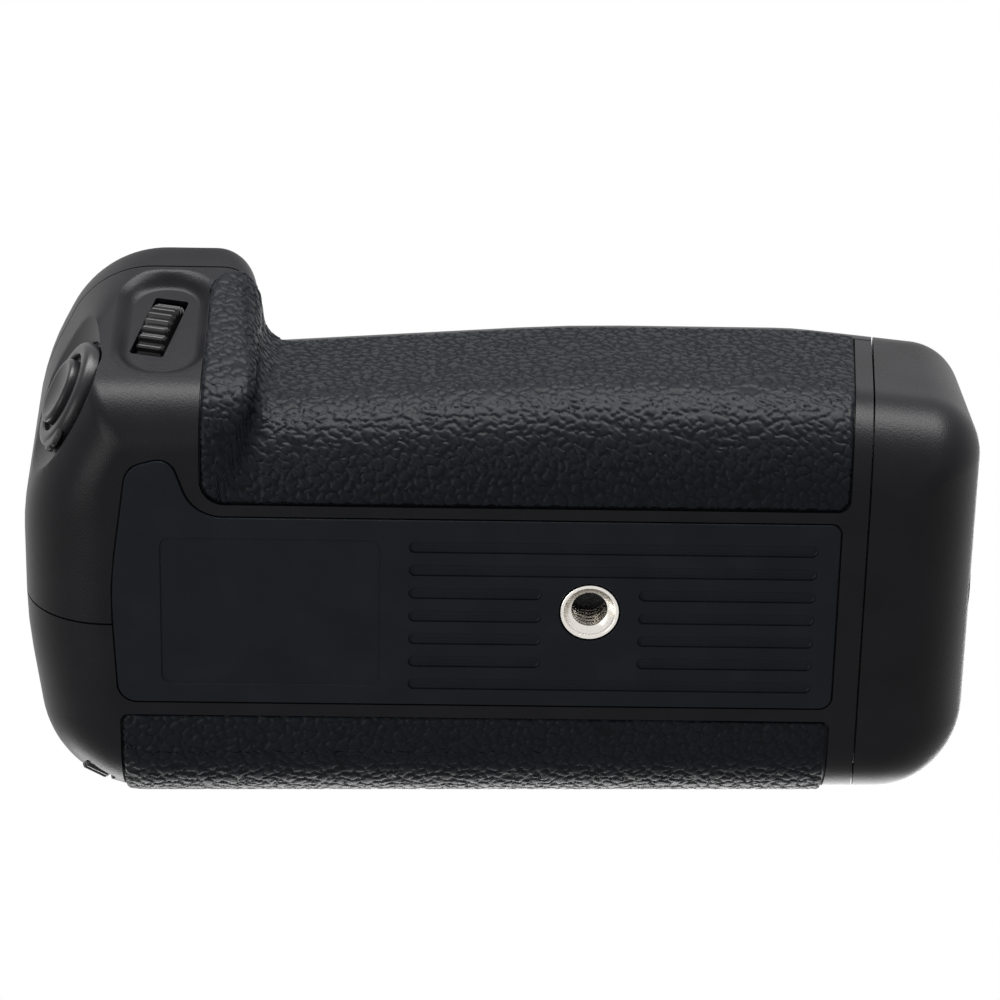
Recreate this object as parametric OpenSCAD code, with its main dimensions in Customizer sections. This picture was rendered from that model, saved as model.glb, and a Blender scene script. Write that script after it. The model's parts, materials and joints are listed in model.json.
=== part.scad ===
/* [Housing] */
// Length from the control end to the outer face of the end cap
body_l = 151.3; // [149.3:0.5:156]
// Depth from the front of the finger rest to the rear wall
body_d = 79.9; // [78.9:0.2:84]
// Height from the underside to the face that meets the camera
body_h = 44; // [43.5:0.5:48]
// Depth of the hand grip, from its front to the rear wall
hand_d = 68.4; // [67:0.1:69]
// Thickness of the moulded walls
wall = 2; // [1.6:0.1:2.4]
// Height of the lid above the seam on the finger rest
lid_h = 6; // [5.5:0.5:7]
// Lean of the finger rest: how far it comes forward per millimetre of height
rest_lean = 0.28; // [0.24:0.01:0.29]
// Width of the open seams between the mouldings
seam_gap = 0.3; // [0.2:0.05:0.5]
// Distance from the control end to the inner side of the finger rest
rest_l = 36; // [35:0.2:38]
// Length of the end cap
cap_l = 18.9; // [18:0.1:20]
// Lean of the end cap's joint: how far it moves outward per millimetre of height
cap_lean = 0.1; // [0:0.01:0.12]

/* [Base and rubber] */
// Thickness of the base plate
plate_t = 1.2; // [1:0.1:1.4]
// Height by which the base plate stands below the housing
plate_proud = 0.2; // [0.1:0.05:0.4]
// Pitch of the grooves in the base plate
groove_pitch = 3.9; // [3.4:0.1:4]
// Width of a groove
groove_w = 1.9; // [1.2:0.1:2.2]
// Depth of a groove
groove_depth = 0.5; // [0.3:0.05:0.7]
// Thickness of the grip rubber
rubber_t = 1.6; // [1.4:0.1:1.8]
// Height by which the rubber stands out of the housing
rubber_proud = 0.7; // [0.4:0.1:0.9]
// Height of the rear rubber on the rear wall
rear_rubber_h = 16; // [14:0.5:18]
// Gap round each inlaid piece
inlay_gap = 0.25; // [0.15:0.05:0.35]

/* [Tripod socket and mounting screw] */
// Distance of the socket from the middle of the length
socket_x = 14; // [12:0.1:16]
// Radius of the socket's threaded wall
socket_bore_r = 2.85; // [2.5:0.05:3]
// Radius of the socket's visible rim
socket_rim_r = 4.6; // [4.2:0.1:5]
// Radius of the mounting screw's thread
screw_r = 3.175; // [3:0.005:3.3]
// Height of the mounting screw above the camera face
screw_proud = 5; // [4:0.5:6]
// Teeth of the screw's gear
screw_teeth = 28; // [27:1:29]
// Teeth of the thumb wheel's gear
wheel_teeth = 18; // [18:1:19]
// Pitch diameter of either gear per tooth
gear_module = 1; // [0.98:0.01:1.02]
// Height by which the thumb wheel stands out of the rear wall
wheel_proud = 1.2; // [0.9:0.1:1.4]
// Thickness of the thumb wheel
wheel_t = 3.3; // [2.8:0.1:3.4]

/* [Controls] */
// Radius of the shutter button
shutter_r = 5.4; // [5:0.1:5.8]
// Travel of the shutter button
shutter_travel = 1; // [0.6:0.1:1.2]
// Outer radius of the lock ring
lock_r = 8.9; // [8.6:0.1:9.2]
// Radius of the front command dial
front_dial_r = 10.5; // [10:0.1:10.8]
// Lean of the front command dial in its scoop
dial_lean = 12; // [8:1:14]
// Radius of the rear command dial
rear_dial_r = 7.8; // [7.4:0.1:8.2]
// Width of both command dials
dial_w = 4.4; // [4:0.1:4.8]
// Radius of the function button
function_r = 3; // [2.6:0.1:3.4]
// Radius of the focus button
focus_r = 3.6; // [3.2:0.1:4]
// Travel of the function and focus buttons
button_travel = 0.8; // [0.5:0.1:0.9]
// Radius of the selector's cap
selector_r = 4.4; // [4:0.1:4.8]

/* [Battery tray] */
// Width of the tray
tray_w = 43; // [42:0.2:44]
// Height of the tray
tray_h = 21.8; // [21:0.1:22]
// Length of the tray behind the end cap
tray_l = 77; // [74:1:78]
// Length of the space for the battery
bay_l = 57; // [56:0.5:58]
// Thickness of the tray's walls
tray_wall = 1.2; // [1:0.1:1.4]
// Gap between the tray and its chamber
tray_gap = 0.35; // [0.25:0.05:0.45]
// Radius of the latch disc
latch_r = 9.5; // [9:0.1:10]

/* [Hidden] */
$fn = 64;
eps = 0.01;
far = 200;
run_gap = 0.05;
seat_gap = 0.02;
move_gap = 0.4;

// Places along the three axes
x_left = -body_l / 2;
x_cap = body_l / 2 - cap_l;
rear_turn = 0.7;
rear_reach = rubber_proud + (body_l / 2 - 16.1) * tan(rear_turn);
lid_draw = 0.53;
y_rear = (body_d - rear_reach - lid_draw) / 2;
y_front = y_rear - body_d;
z_base = plate_proud;
z_floor = z_base + wall;
z_lid = body_h - lid_h;
z_roof = body_h - wall;
y_socket = y_rear - 34.8;
y_seam = y_socket + 3.2;

// The housing's outline, one row per side, counter-clockwise from the end cap: the
// direction that the side faces, its distance from the origin at the top, its lean, the
// reach and the height of its rounding at the bottom, the radius to the next side, how
// fast that radius shrinks as the sides draw in, and the reach of its rounding at the top
left_turn = 8;
left_bend_y = y_socket + 8;
left_out = -x_left * cos(left_turn) + left_bend_y * sin(left_turn);
face_turn = 207.9;
face_lean = 0.15;
face_out = -x_left * 0.9 + 8.7;
hand_y = y_rear - hand_d;
hand_fall = 0.85;
hand_top = 3.2;
top_reach = 1.2;
rest_x = x_left + rest_l;
rest_turn = 353;
rest_out = rest_x * cos(rest_turn) + (y_front + hand_y) / 2 * sin(rest_turn);
shoulder_x = x_cap - 9;
shoulder_turn = 276;
shoulder_out = shoulder_x * cos(shoulder_turn) + hand_y * sin(shoulder_turn);
SIDES = [
    [0, body_l / 2, 0, 13, 15, 14, 1, top_reach],
    [90 - rear_turn, y_rear, 0, 11, 11, 17, 1, top_reach],
    [180 - left_turn, left_out, 0, 14, 16, 70, 1, top_reach],
    [180, -x_left, 0, 14, 16, 36, 1, top_reach],
    [face_turn, face_out, face_lean, 8, 10, 20, 4, top_reach],
    [270, -y_front, rest_lean, 7, 8, 6.5, 1, 0.6],
    [rest_turn, rest_out, 0, 7, 10, 4, 1, top_reach],
    [266, -hand_y - hand_fall, 0, 14, 14, 250, 1, hand_top],
    [270, -hand_y, 0, 14, 14, 60, 1, hand_top],
    [shoulder_turn, shoulder_out, 0, 14, 14, 9.5, 1, hand_top]
];
side_count = len(SIDES);

function fall(reach, height, z) =
    z >= height ? 0 : reach * (1 - sqrt(max(0, 1 - pow((height - z) / height, 2))));
function top_fall(reach, z, skin) =
    let (up = z - z_lid + max(skin, 0))
    up <= 0 ? 0 : reach * (1 - sqrt(max(0, 1 - pow(up / lid_h, 2))));
function reach_at(side, z, skin, lift) =
    side[1] - side[2] * (body_h - z) - skin - top_fall(side[7], z, skin)
    - fall(max(side[3] - lift, 1), max(side[4] - lift, 1), z - z_base - lift);
function meet(a1, d1, a2, d2) =
    [(d1 * sin(a2) - d2 * sin(a1)) / sin(a2 - a1), (d2 * cos(a1) - d1 * cos(a2)) / sin(a2 - a1)];
function turn_of(i) =
    let (t = SIDES[(i + 1) % side_count][0] - SIDES[i][0])
    t < -180 ? t + 360 : t;
function corner_of(i, reach) =
    let (j = (i + 1) % side_count)
    meet(SIDES[i][0], reach[i], SIDES[j][0], reach[j]);
function corner_radius(i, corners, drop) =
    let (before = norm(corners[i] - corners[(i + side_count - 1) % side_count]))
    let (after = norm(corners[(i + 1) % side_count] - corners[i]))
    let (room = 0.48 * min(before, after) / tan(abs(turn_of(i)) / 2))
    sign(turn_of(i)) * min(max(SIDES[i][5] - SIDES[i][6] * drop, 2.5), room);

// One closed ring of the housing at a height, moved inward by skin
function ring(z, skin, lift, step) =
    let (reach = [for (s = SIDES) reach_at(s, z, skin, lift)])
    let (corners = [for (i = [0 : side_count - 1]) corner_of(i, reach)])
    [for (i = [0 : side_count - 1])
        let (j = (i + 1) % side_count)
        let (drop = (SIDES[i][1] - reach[i] + SIDES[j][1] - reach[j]) / 2)
        let (r = corner_radius(i, corners, drop))
        let (c = meet(SIDES[i][0], reach[i] - r, SIDES[j][0], reach[j] - r))
        let (n = max(1, ceil(abs(turn_of(i)) / step)))
        for (k = [0 : n])
            let (a = SIDES[i][0] + turn_of(i) * k / n)
            [c[0] + r * cos(a), c[1] + r * sin(a), z]];

round_h = 14;
round_steps = 5;
lid_steps = 3;
WALL_LEVELS = [19, 25, 30.5];
function levels(lift, roof) =
    let (r = round_h - lift)
    [for (k = [0 : round_steps]) z_base + lift + r * (1 - cos(90 * k / round_steps)),
     for (h = WALL_LEVELS) z_base + h,
     for (k = [0 : lid_steps]) roof - lid_h * (1 - sin(90 * k / lid_steps))];

// The rear wall's place along the length
function rear_y(x) = y_rear - x * tan(rear_turn);

// The solid housing form: moved inward by skin, raised by lift and drawn up by rise
module form(skin = 0, lift = 0, step = 18, rise = 0) {
    roof = body_h - max(skin, 0);
    walls = [for (z = levels(lift, roof)) ring(z, skin, lift, step)];
    crown = [for (p = ring(roof, skin, lift, step)) p + [0, 0, rise]];
    rings = rise > 0 ? concat(walls, [crown]) : walls;
    n = len(rings[0]);
    sides = [for (i = [0 : len(rings) - 2]) for (k = [0 : n - 1])
        let (a = i * n + k, b = i * n + (k + 1) % n)
        each [[a, a + n, b], [b, a + n, b + n]]];
    bottom = [[for (k = [0 : n - 1]) k]];
    top = [[for (k = [n - 1 : -1 : 0]) (len(rings) - 1) * n + k]];
    polyhedron([for (r = rings) each r], concat(sides, bottom, top));
}

module hollow() form(wall, wall, 22.5);

// Everything beyond the end cap's leaning joint
module beyond_joint(x)
    translate([x, 0, 0]) rotate([0, atan(cap_lean), 0]) translate([0, -far, -far])
        cube([far, 2 * far, 2 * far]);

// A corner list [x, y, radius] as a rounded outline
function rounded(corners, step = 7.5) =
    let (n = len(corners))
    [for (i = [0 : n - 1])
        let (p = corners[i], u = corners[(i + n - 1) % n] - p, v = corners[(i + 1) % n] - p)
        let (a = atan2(u[1], u[0]), b = atan2(v[1], v[0]))
        let (half = (abs(a - b) > 180 ? 360 - abs(a - b) : abs(a - b)) / 2)
        let (side = sign(u[0] * v[1] - u[1] * v[0]))
        let (mid = a + side * half)
        let (c = [p[0], p[1]] + p[2] / sin(half) * [cos(mid), sin(mid)])
        let (m = max(1, ceil((180 - 2 * half) / step)))
        for (k = [0 : m])
            let (t = mid + 180 + side * (90 - half) * (1 - 2 * k / m))
            c + p[2] * [cos(t), sin(t)]];

module slab(x0, x1, y0, y1, z0, z1) translate([x0, y0, z0]) cube([x1 - x0, y1 - y0, z1 - z0]);

module tapered_boss(x, y, z0, z1, r)
    hull() {
        translate([x, y, z0]) cylinder(r = r + 0.8, h = eps, $fn = 32);
        translate([x, y, z1 - eps]) cylinder(r = r, h = eps, $fn = 32);
    }

// Base plate: a sheet with a tongue towards the control end, grooves and a bare label field
plate_x0 = x_left + 15.2;
plate_x1 = x_cap - 4.05;
plate_y0 = y_socket - 15.3;
plate_y1 = y_socket + 16.25;
tongue_y = plate_y0 - 9.6;
label_x0 = plate_x0 + 7.4;
label_x1 = socket_x - 32.9;
label_depth = 0.25;
groove_x0 = label_x1 + 4.5;
groove_x1 = plate_x1 - 3.4;
groove_rows = 7;
groove_clear = 7.6;
PLATE = [
    [plate_x0 + 0.6, plate_y1, 3], [plate_x0 - 0.4, plate_y0 + 12, 60],
    [plate_x0 + 2.4, tongue_y + 1.5, 3.4], [plate_x0 + 9, tongue_y - 0.3, 2.8],
    [plate_x0 + 12.6, plate_y0, 6.5], [plate_x1, plate_y0, 1.5], [plate_x1, plate_y1, 2]
];

module plate_outline(gap = 0) offset(delta = gap) polygon(rounded(PLATE));

module groove_row(x0, x1, y) {
    half = groove_w / 2;
    polygon(rounded([[x0, y - half, half - eps], [x1, y - half, half - eps],
        [x1, y + half, half - eps], [x0, y + half, half - eps]], 22.5));
}

module grooves()
    for (i = [0 : groove_rows - 1]) {
        y = y_socket + 0.9 + (i - (groove_rows - 1) / 2) * groove_pitch;
        broken = i > 1 && i < groove_rows - 1;
        groove_row(groove_x0, broken ? socket_x - groove_clear : groove_x1, y);
        if (broken) groove_row(socket_x + groove_clear, groove_x1, y);
    }

module base_plate() color([0.06, 0.065, 0.08]) difference() {
    linear_extrude(plate_t) polygon(rounded(PLATE));
    translate([0, 0, -eps]) linear_extrude(groove_depth + eps) grooves();
    translate([0, 0, -eps]) linear_extrude(label_depth + eps)
        polygon(rounded([[label_x0, plate_y0 + 3.5, 1.5], [label_x1, plate_y0 + 3.5, 1.5],
            [label_x1, plate_y1 - 3.2, 1.5], [label_x0, plate_y1 - 3.2, 1.5]]));
    translate([socket_x, y_socket, -1]) cylinder(r = socket_rim_r + inlay_gap, h = plate_t + 2);
}

// Rubber inlays follow the housing's form
rubber_x0 = x_left + 29;
rubber_x1 = x_cap - 3;
rubber_y1 = plate_y0 - 2.3;
rubber_corner_r = 8;
rear_rubber_x0 = plate_x0 + 0.9;
rear_rubber_x1 = x_cap - 4.3;
rear_rubber_y0 = plate_y1 + 2.6;
rubber_back = rubber_t - rubber_proud;
peg_r = 1.2;
peg_h = 0.8;

function block_from(x, y, r) = [[x, y, r], [far, y, 1], [far, far, 1], [x, far, 1]];

// A zone with one rounded corner at x, y that opens towards dir_x, dir_y
module corner_zone(x, y, r, dir_x, dir_y, gap)
    mirror([dir_x > 0 ? 0 : 1, 0]) mirror([0, dir_y > 0 ? 0 : 1])
        polygon(rounded(block_from(dir_x * x - gap, dir_y * y - gap, r), 15));

module lean_with_cap()
    multmatrix([[1, 0, cap_lean, 0], [0, 1, 0, 0], [0, 0, 1, 0], [0, 0, 0, 1]])
        children();

module upright(h) translate([0, 0, -1]) linear_extrude(h + 1) children();

module front_rubber_zone(gap) intersection() {
    upright(z_lid - seam_gap + gap) corner_zone(rubber_x0, rubber_y1, 4, 1, -1, gap);
    lean_with_cap() upright(z_lid) corner_zone(rubber_x1, rubber_y1, 2, -1, -1, gap);
    rotate([90, 0, 0]) linear_extrude(2 * far, center = true)
        corner_zone(rubber_x0 - inlay_gap, z_lid, rubber_corner_r, 1, -1, gap);
}

module rear_rubber_zone(gap) upright(rear_rubber_h + gap) intersection() {
    corner_zone(rear_rubber_x0, rear_rubber_y0, 1.3, 1, 1, gap);
    corner_zone(rear_rubber_x1, rear_rubber_y0, 1.3, -1, 1, gap);
}

module rubber_pad() difference() {
    form(-rubber_proud, 0);
    form(rubber_back, rubber_back);
}

// Pegs on the back of each rubber, which seat in holes in the shells
module pegs(places, turn, gap) for (p = places) translate(p) rotate([turn, 0, 0]) hull() {
    translate([0, 0, -0.3]) cylinder(r = peg_r + gap, h = eps, $fn = 16);
    translate([0, 0, peg_h + gap]) cylinder(r = peg_r + gap - 0.2, h = eps, $fn = 16);
}

peg_gap = 0.1;
front_peg_pitch = 10;
rear_peg_pitch = 12.5;
FRONT_PEGS = [for (i = [0 : 3]) for (z = [20, 31])
    [socket_x + 3 + front_peg_pitch * i, hand_y + rubber_back, z]];
REAR_PEGS = [for (i = [0 : 7])
    let (x = rear_rubber_x0 + 10 + rear_peg_pitch * i)
    [x, rear_y(x) - rubber_back, rear_rubber_h - 2.6]];

module front_pegs(gap) pegs(FRONT_PEGS, -90, gap);

module rear_pegs(gap) pegs(REAR_PEGS, 90, gap);

module front_grip_rubber() color([0.05, 0.055, 0.065]) {
    intersection() {
        rubber_pad();
        front_rubber_zone(0);
    }
    front_pegs(0);
}

module rear_grip_rubber() color([0.05, 0.055, 0.065]) {
    intersection() {
        rubber_pad();
        rear_rubber_zone(0);
    }
    rear_pegs(0);
}

module rubber_pocket() difference() {
    translate([-far / 2, -far / 2, -1]) cube([far, far, far]);
    form(rubber_back, rubber_back);
}

// Finger scoop and slot of the front command dial
front_dial_x = x_left + 21.2;
front_dial_z = 24;
scoop_depth = 1.9;
scoop_w = 14;
scoop_h = 28.8;
scoop_drop = 0.8;
dial_proud = 2.1;
rest_angle = atan(rest_lean);
rest_y = y_front + rest_lean * (body_h - front_dial_z);
slot_gap = 0.55;
slot_lip = 0.8;
lip_proud = dial_proud + slot_lip;
front_slot_h = 2 * sqrt(lip_proud * (2 * front_dial_r - lip_proud));
rear_slot_h = 2 * rear_dial_r + 2 * slot_gap;
dial_axle_r = 1.5;

module at_scoop(depth) translate([front_dial_x, rest_y, front_dial_z])
    rotate([90 + rest_angle, 0, 0]) translate([0, 0, -depth]) children();

module at_front_dial(depth) at_scoop(depth) rotate([0, 0, -dial_lean]) children();

// An outline of the scoop, drawn in by inset at its ends and sides
module scoop_outline(r, inset_w, inset_h) translate([0, -scoop_drop, 0]) linear_extrude(eps)
    offset(r = r, $fn = 32) square([scoop_w - inset_w, scoop_h - inset_h], center = true);

module scoop() hull() {
    at_scoop(-3) scoop_outline(6, 9, 9);
    at_scoop(scoop_depth) scoop_outline(5, 11.5, 16);
}

module dial_slot(h, depth, out) hull() for (s = [-1, 1], t = [-1, 1])
    translate([s * dial_w / 2, t * h / 2, -depth]) cylinder(r = slot_gap, h = depth + out, $fn = 16);

front_dial_back = scoop_depth + front_dial_r - dial_proud;

// The rear dial sits in the rounded rear corner of the control end
rear_corner_r = SIDES[1][5];
rear_corner = meet(SIDES[1][0], SIDES[1][1] - rear_corner_r, SIDES[2][0], SIDES[2][1] - rear_corner_r);
rear_dial_turn = 118;
rear_dial_z = 13;
rear_dial_proud = 1.1;

module at_rear_corner(depth)
    translate([rear_corner[0], rear_corner[1], rear_dial_z]) rotate([0, 0, rear_dial_turn])
        translate([rear_corner_r - depth, 0, 0]) rotate([90, 0, 90]) children();

rear_dial_back = rear_dial_r - rear_dial_proud;

// A ribbed wheel on the local X axis
rib_pitch = 1.8;
rib_depth = 0.45;

module ribbed_wheel(r) rotate([0, 90, 0]) difference() {
    ribs = round(2 * PI * r / rib_pitch);
    translate([0, 0, -dial_w / 2]) linear_extrude(dial_w) difference() {
        circle(r = r);
        for (i = [0 : ribs - 1]) rotate(360 * (i + 0.5) / ribs) translate([r, 0])
            circle(r = rib_depth, $fn = 6);
    }
    cylinder(r = dial_axle_r + run_gap, h = 3 * dial_w, center = true);
}

cheek_t = 1.4;
cheek_half = 3.2;

module dial_axle() rotate([0, 90, 0])
    cylinder(r = dial_axle_r, h = dial_w + 2 * (move_gap + cheek_t), center = true);

module front_dial() color([0.05, 0.05, 0.055])
    at_front_dial(front_dial_back) ribbed_wheel(front_dial_r);

module front_dial_axle() color("silver") at_front_dial(front_dial_back) dial_axle();

module rear_dial() color([0.05, 0.05, 0.055])
    at_rear_corner(rear_dial_back) ribbed_wheel(rear_dial_r);

module rear_dial_axle() color("silver") at_rear_corner(rear_dial_back) dial_axle();

// A bracket of two cheeks that hold the axle, joined behind the wheel
module dial_bracket(length) {
    half = dial_w / 2 + move_gap;
    for (s = [-1, 1]) difference() {
        translate([s > 0 ? half : -half - cheek_t, -cheek_half, -length - cheek_t])
            cube([cheek_t, 2 * cheek_half, length + cheek_t + cheek_half]);
        rotate([0, 90, 0]) cylinder(r = dial_axle_r + seat_gap, h = 40, center = true);
    }
    translate([-half - eps, -cheek_half, -length - cheek_t])
        cube([2 * half + 2 * eps, 2 * cheek_half, cheek_t]);
}

front_axle_y = rest_y + front_dial_back * cos(rest_angle);
front_axle_z = front_dial_z + front_dial_back * sin(rest_angle);

// Each bracket stands on the floor on a post behind the wheel
module front_dial_bracket() color("dimgray") {
    length = front_dial_r + move_gap;
    at_front_dial(front_dial_back) dial_bracket(length);
    y = front_axle_y + length;
    z = front_axle_z + (length + cheek_t / 2) * sin(rest_angle);
    slab(front_dial_x - dial_w / 2, front_dial_x + dial_w / 2, y, y + cheek_t, z_floor, z);
}

module rear_dial_bracket() color("dimgray")
    translate([rear_corner[0], rear_corner[1], 0]) rotate([0, 0, rear_dial_turn - 90])
        translate([0, rear_corner_r - rear_dial_back, rear_dial_z]) {
            rotate([-90, 0, 0]) dial_bracket(rear_dial_r + move_gap);
            y = -rear_dial_r - move_gap - cheek_t;
            slab(-dial_w / 2, dial_w / 2, y, y + cheek_t, z_floor - rear_dial_z, -cheek_half + eps);
        }

// Push buttons: a sleeve in the wall, a cap that slides in it and a switch at its inner end
sleeve_t = 1;
flange_t = 1.2;
cap_h = 3.4;
stem_h = 1;
stem_r = 1.2;
switch_h = 2.2;
switch_r = 2.2;
flange_w = 0.8;
screw_gap = 0.05;
contact_gap = 0.1;

function switch_depth(travel) = cap_h + stem_h + travel + contact_gap;

// The sleeve is stepped: the cap runs in its wide part and the switch sits in its narrow part
module sleeve(r, travel, collar) difference() {
    low = switch_depth(travel) + switch_h;
    step = cap_h + travel + contact_gap;
    outer_r = r + run_gap + sleeve_t;
    union() {
        translate([0, 0, -step - sleeve_t]) cylinder(r = outer_r, h = step + sleeve_t + collar);
        translate([0, 0, -wall - flange_t]) cylinder(r = outer_r + flange_w, h = flange_t);
        translate([0, 0, -low]) cylinder(r = switch_r + sleeve_t, h = switch_h);
    }
    translate([0, 0, -step]) cylinder(r = r + run_gap, h = step + collar + 1);
    translate([0, 0, -low - 1]) cylinder(r = switch_r + seat_gap, h = low);
}

module button_cap(r, proud, dish) {
    rotate_extrude() polygon(concat(
        [[0, -cap_h], [r, -cap_h], [r, proud - 0.6], [r - 0.6, proud]],
        [for (k = [0 : 6]) let (x = (r - 1) * (1 - k / 6)) [x, proud - dish * (1 - pow(x / (r - 1), 2))]]));
    translate([0, 0, -cap_h - stem_h]) cylinder(r = stem_r, h = stem_h + 1);
}

module button_switch(travel) translate([0, 0, -switch_depth(travel) - switch_h]) {
    cylinder(r = switch_r, h = switch_h - 0.8);
    cylinder(r = stem_r, h = switch_h);
}

// Shutter button on the slanted face of the control end
shutter_z = 16;
shutter_along = -9.6;
shutter_sink = 1.9;
hollow_r = 56;
hollow_depth = 2.1;
dish_r = lock_r + move_gap;
shutter_collar = 1.7;
shutter_proud = 3.6;
shutter_dish = 0.7;
lock_lift = 0.35;
lock_h = 2.2;
face_tilt = 90 + atan(face_lean);

module at_shutter() {
    d = face_out - face_lean * (body_h - shutter_z) - shutter_sink;
    translate([d * cos(face_turn) - shutter_along * sin(face_turn),
        d * sin(face_turn) + shutter_along * cos(face_turn), shutter_z])
        rotate([0, face_tilt, face_turn]) children();
}

module shutter_guide() color([0.08, 0.08, 0.085])
    at_shutter() sleeve(shutter_r, shutter_travel, shutter_collar);

module shutter_button() color([0.06, 0.06, 0.065])
    at_shutter() button_cap(shutter_r, shutter_proud, shutter_dish);

module shutter_switch() color("darkslategray")
    at_shutter() button_switch(shutter_travel);

lock_bore_r = shutter_r + run_gap + sleeve_t + run_gap;
nub_turn = -35;
nub_l = 2.8;
nub_w = 5.2;
nub_lift = 1.2;
nub_top = lock_lift + lock_h - 0.3;
nub_out = lock_r + nub_l / 2;
nub_rib = 1.5;

module lock_ring() color([0.05, 0.05, 0.055]) at_shutter() difference() {
    union() {
        translate([0, 0, lock_lift]) rotate_extrude() polygon([[lock_bore_r, 0], [lock_r, 0],
            [lock_r, lock_h - 1.2], [lock_r - 0.9, lock_h], [lock_bore_r + 0.4, lock_h],
            [lock_bore_r, lock_h - 0.4]]);
        rotate([0, 0, nub_turn]) translate([nub_out - nub_l, -nub_w / 2, nub_lift])
            cube([nub_l, nub_w, nub_top - nub_lift]);
    }
    translate([0, 0, -5]) cylinder(r = lock_bore_r, h = 20);
    for (k = [-1 : 1]) rotate([0, 0, nub_turn])
        translate([nub_out - 0.5, k * nub_rib - 0.3, 0]) cube([1, 0.6, lock_h + 2]);
}

// Function button on the control end and focus button on the rear wall
function_y = y_socket - 7;
function_z = z_lid - 10;
button_dish = 1.2;
button_proud = 0.9;
focus_x = x_left + 24;
focus_z = z_lid - 8;

module at_function()
    translate([x_left + button_dish, function_y, function_z]) rotate([0, -90, 0]) children();

module at_rear(x, z) translate([x, rear_y(x), z]) rotate([-90, 0, -rear_turn]) children();

module at_focus() at_rear(focus_x, focus_z) children();

module function_sleeve() color([0.08, 0.08, 0.085])
    at_function() sleeve(function_r, button_travel, 0);

module function_button() color([0.06, 0.06, 0.065])
    at_function() button_cap(function_r, button_proud, 0.3);

module function_switch() color("darkslategray")
    at_function() button_switch(button_travel);

module focus_sleeve() color([0.08, 0.08, 0.085]) at_focus() sleeve(focus_r, button_travel, 0);

module focus_button() color([0.06, 0.06, 0.065])
    at_focus() button_cap(focus_r, button_proud - 0.4, -0.3);

module focus_switch() color("darkslategray") at_focus() button_switch(button_travel);

module sleeve_hole(r) {
    translate([0, 0, -20]) cylinder(r = r + run_gap + sleeve_t + 2 * eps, h = 30);
    translate([0, 0, -wall - 10]) cylinder(r = r + run_gap + sleeve_t + flange_w + inlay_gap, h = 10);
}

// Selector: a stick on two crossed pins in a cup behind the rear wall
selector_x = x_left + 37;
selector_z = z_lid - 13.5;
selector_depth = 8;
pin_r = 0.9;
stick_pin_r = 0.54;
gimbal_w = 5.2;
gimbal_t = 2.6;
selector_proud = 0.9;
selector_hole_r = selector_r + 1.9;
selector_dish = 1.6;
selector_base_r = selector_hole_r + 0.9;
stick_r = 1.5;
stick_foot = 1.3;
gimbal_frame = 0.7;
gimbal_room = 1.2;
cap_room = 1.2;
base_t = 1.4;

selector_low = selector_dish - move_gap;

module at_selector() at_rear(selector_x, selector_z) children();

module selector_stick() color([0.06, 0.06, 0.065]) at_selector() difference() {
    union() {
        translate([0, 0, -selector_low]) rotate_extrude() polygon([[0, 0], [selector_r - 0.6, 0],
            [selector_r, 0.6], [selector_r, 1.5], [selector_r - 1, selector_low + selector_proud],
            [0, selector_low + selector_proud - 0.5]]);
        translate([0, 0, -selector_depth - stick_foot])
            cylinder(r = stick_r, h = selector_depth - selector_low + stick_foot + 0.2);
    }
    translate([0, 0, -selector_depth]) rotate([0, 90, 0])
        cylinder(r = stick_pin_r + run_gap, h = 20, center = true);
}

module selector_gimbal() color("silver") at_selector() translate([0, 0, -selector_depth]) {
    window = gimbal_w - 2 * gimbal_frame;
    difference() {
        cube([gimbal_w, gimbal_w, gimbal_t], center = true);
        cube([window, window, gimbal_t + 1], center = true);
    }
    rotate([0, 90, 0]) cylinder(r = stick_pin_r, h = gimbal_w - gimbal_frame, center = true);
    for (s = [-1, 1]) translate([0, s * (gimbal_w / 2 - 0.2), 0]) rotate([-90 * s, 0, 0])
        cylinder(r = pin_r, h = 2);
}

// The cup has a slot for the gimbal, with its pins' bores, and room for the cap above it
module selector_base() color([0.1, 0.1, 0.1]) at_selector() difference() {
    half = gimbal_w / 2 + move_gap;
    back = -selector_depth - gimbal_t / 2 - 1.6;
    translate([0, 0, back - base_t]) cylinder(r = selector_base_r, h = base_t - back - wall);
    translate([0, 0, -wall - cap_room]) cylinder(r = selector_base_r - base_t, h = 10);
    translate([-half - gimbal_room, -half, back]) cube([2 * (half + gimbal_room), 2 * half, 20]);
    translate([0, 0, -selector_depth]) rotate([90, 0, 0])
        cylinder(r = pin_r + run_gap, h = 40, center = true);
}

// Tripod socket: a flanged bush under the chassis plate
socket_flange_r = 8;
socket_flange_t = 1.8;
socket_top = 7.6;
socket_neck_r = 5.5;
rim_sink = 0.15;
countersink = 1;
chassis_t = 1.2;
z_chassis = z_floor + socket_flange_t;

module tripod_socket() color("silver") translate([socket_x, y_socket, 0]) rotate_extrude() polygon([
    [socket_bore_r + countersink, rim_sink + 0.3], [socket_bore_r + countersink + 0.25, rim_sink],
    [socket_rim_r, rim_sink], [socket_rim_r, z_floor], [socket_flange_r, z_floor],
    [socket_flange_r, z_chassis], [socket_neck_r, z_chassis], [socket_neck_r, socket_top],
    [socket_bore_r, socket_top], [socket_bore_r, rim_sink + 0.3 + countersink]]);

chassis_x0 = x_cap - 74;
chassis_x1 = x_cap - 5;
chassis_half = 19;

module chassis_plate() color("gray") difference() {
    slab(chassis_x0, chassis_x1, y_socket - chassis_half, y_socket + chassis_half,
        z_chassis, z_chassis + chassis_t);
    translate([socket_x, y_socket, z_chassis - 1]) cylinder(r = socket_neck_r + seat_gap, h = 5);
    for (x = [chassis_x0 + 5, chassis_x1 - 5]) for (s = [-1, 1])
        translate([x, y_socket + s * (chassis_half - 4), z_chassis - 1]) cylinder(r = 1.6, h = 5);
}

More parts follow.
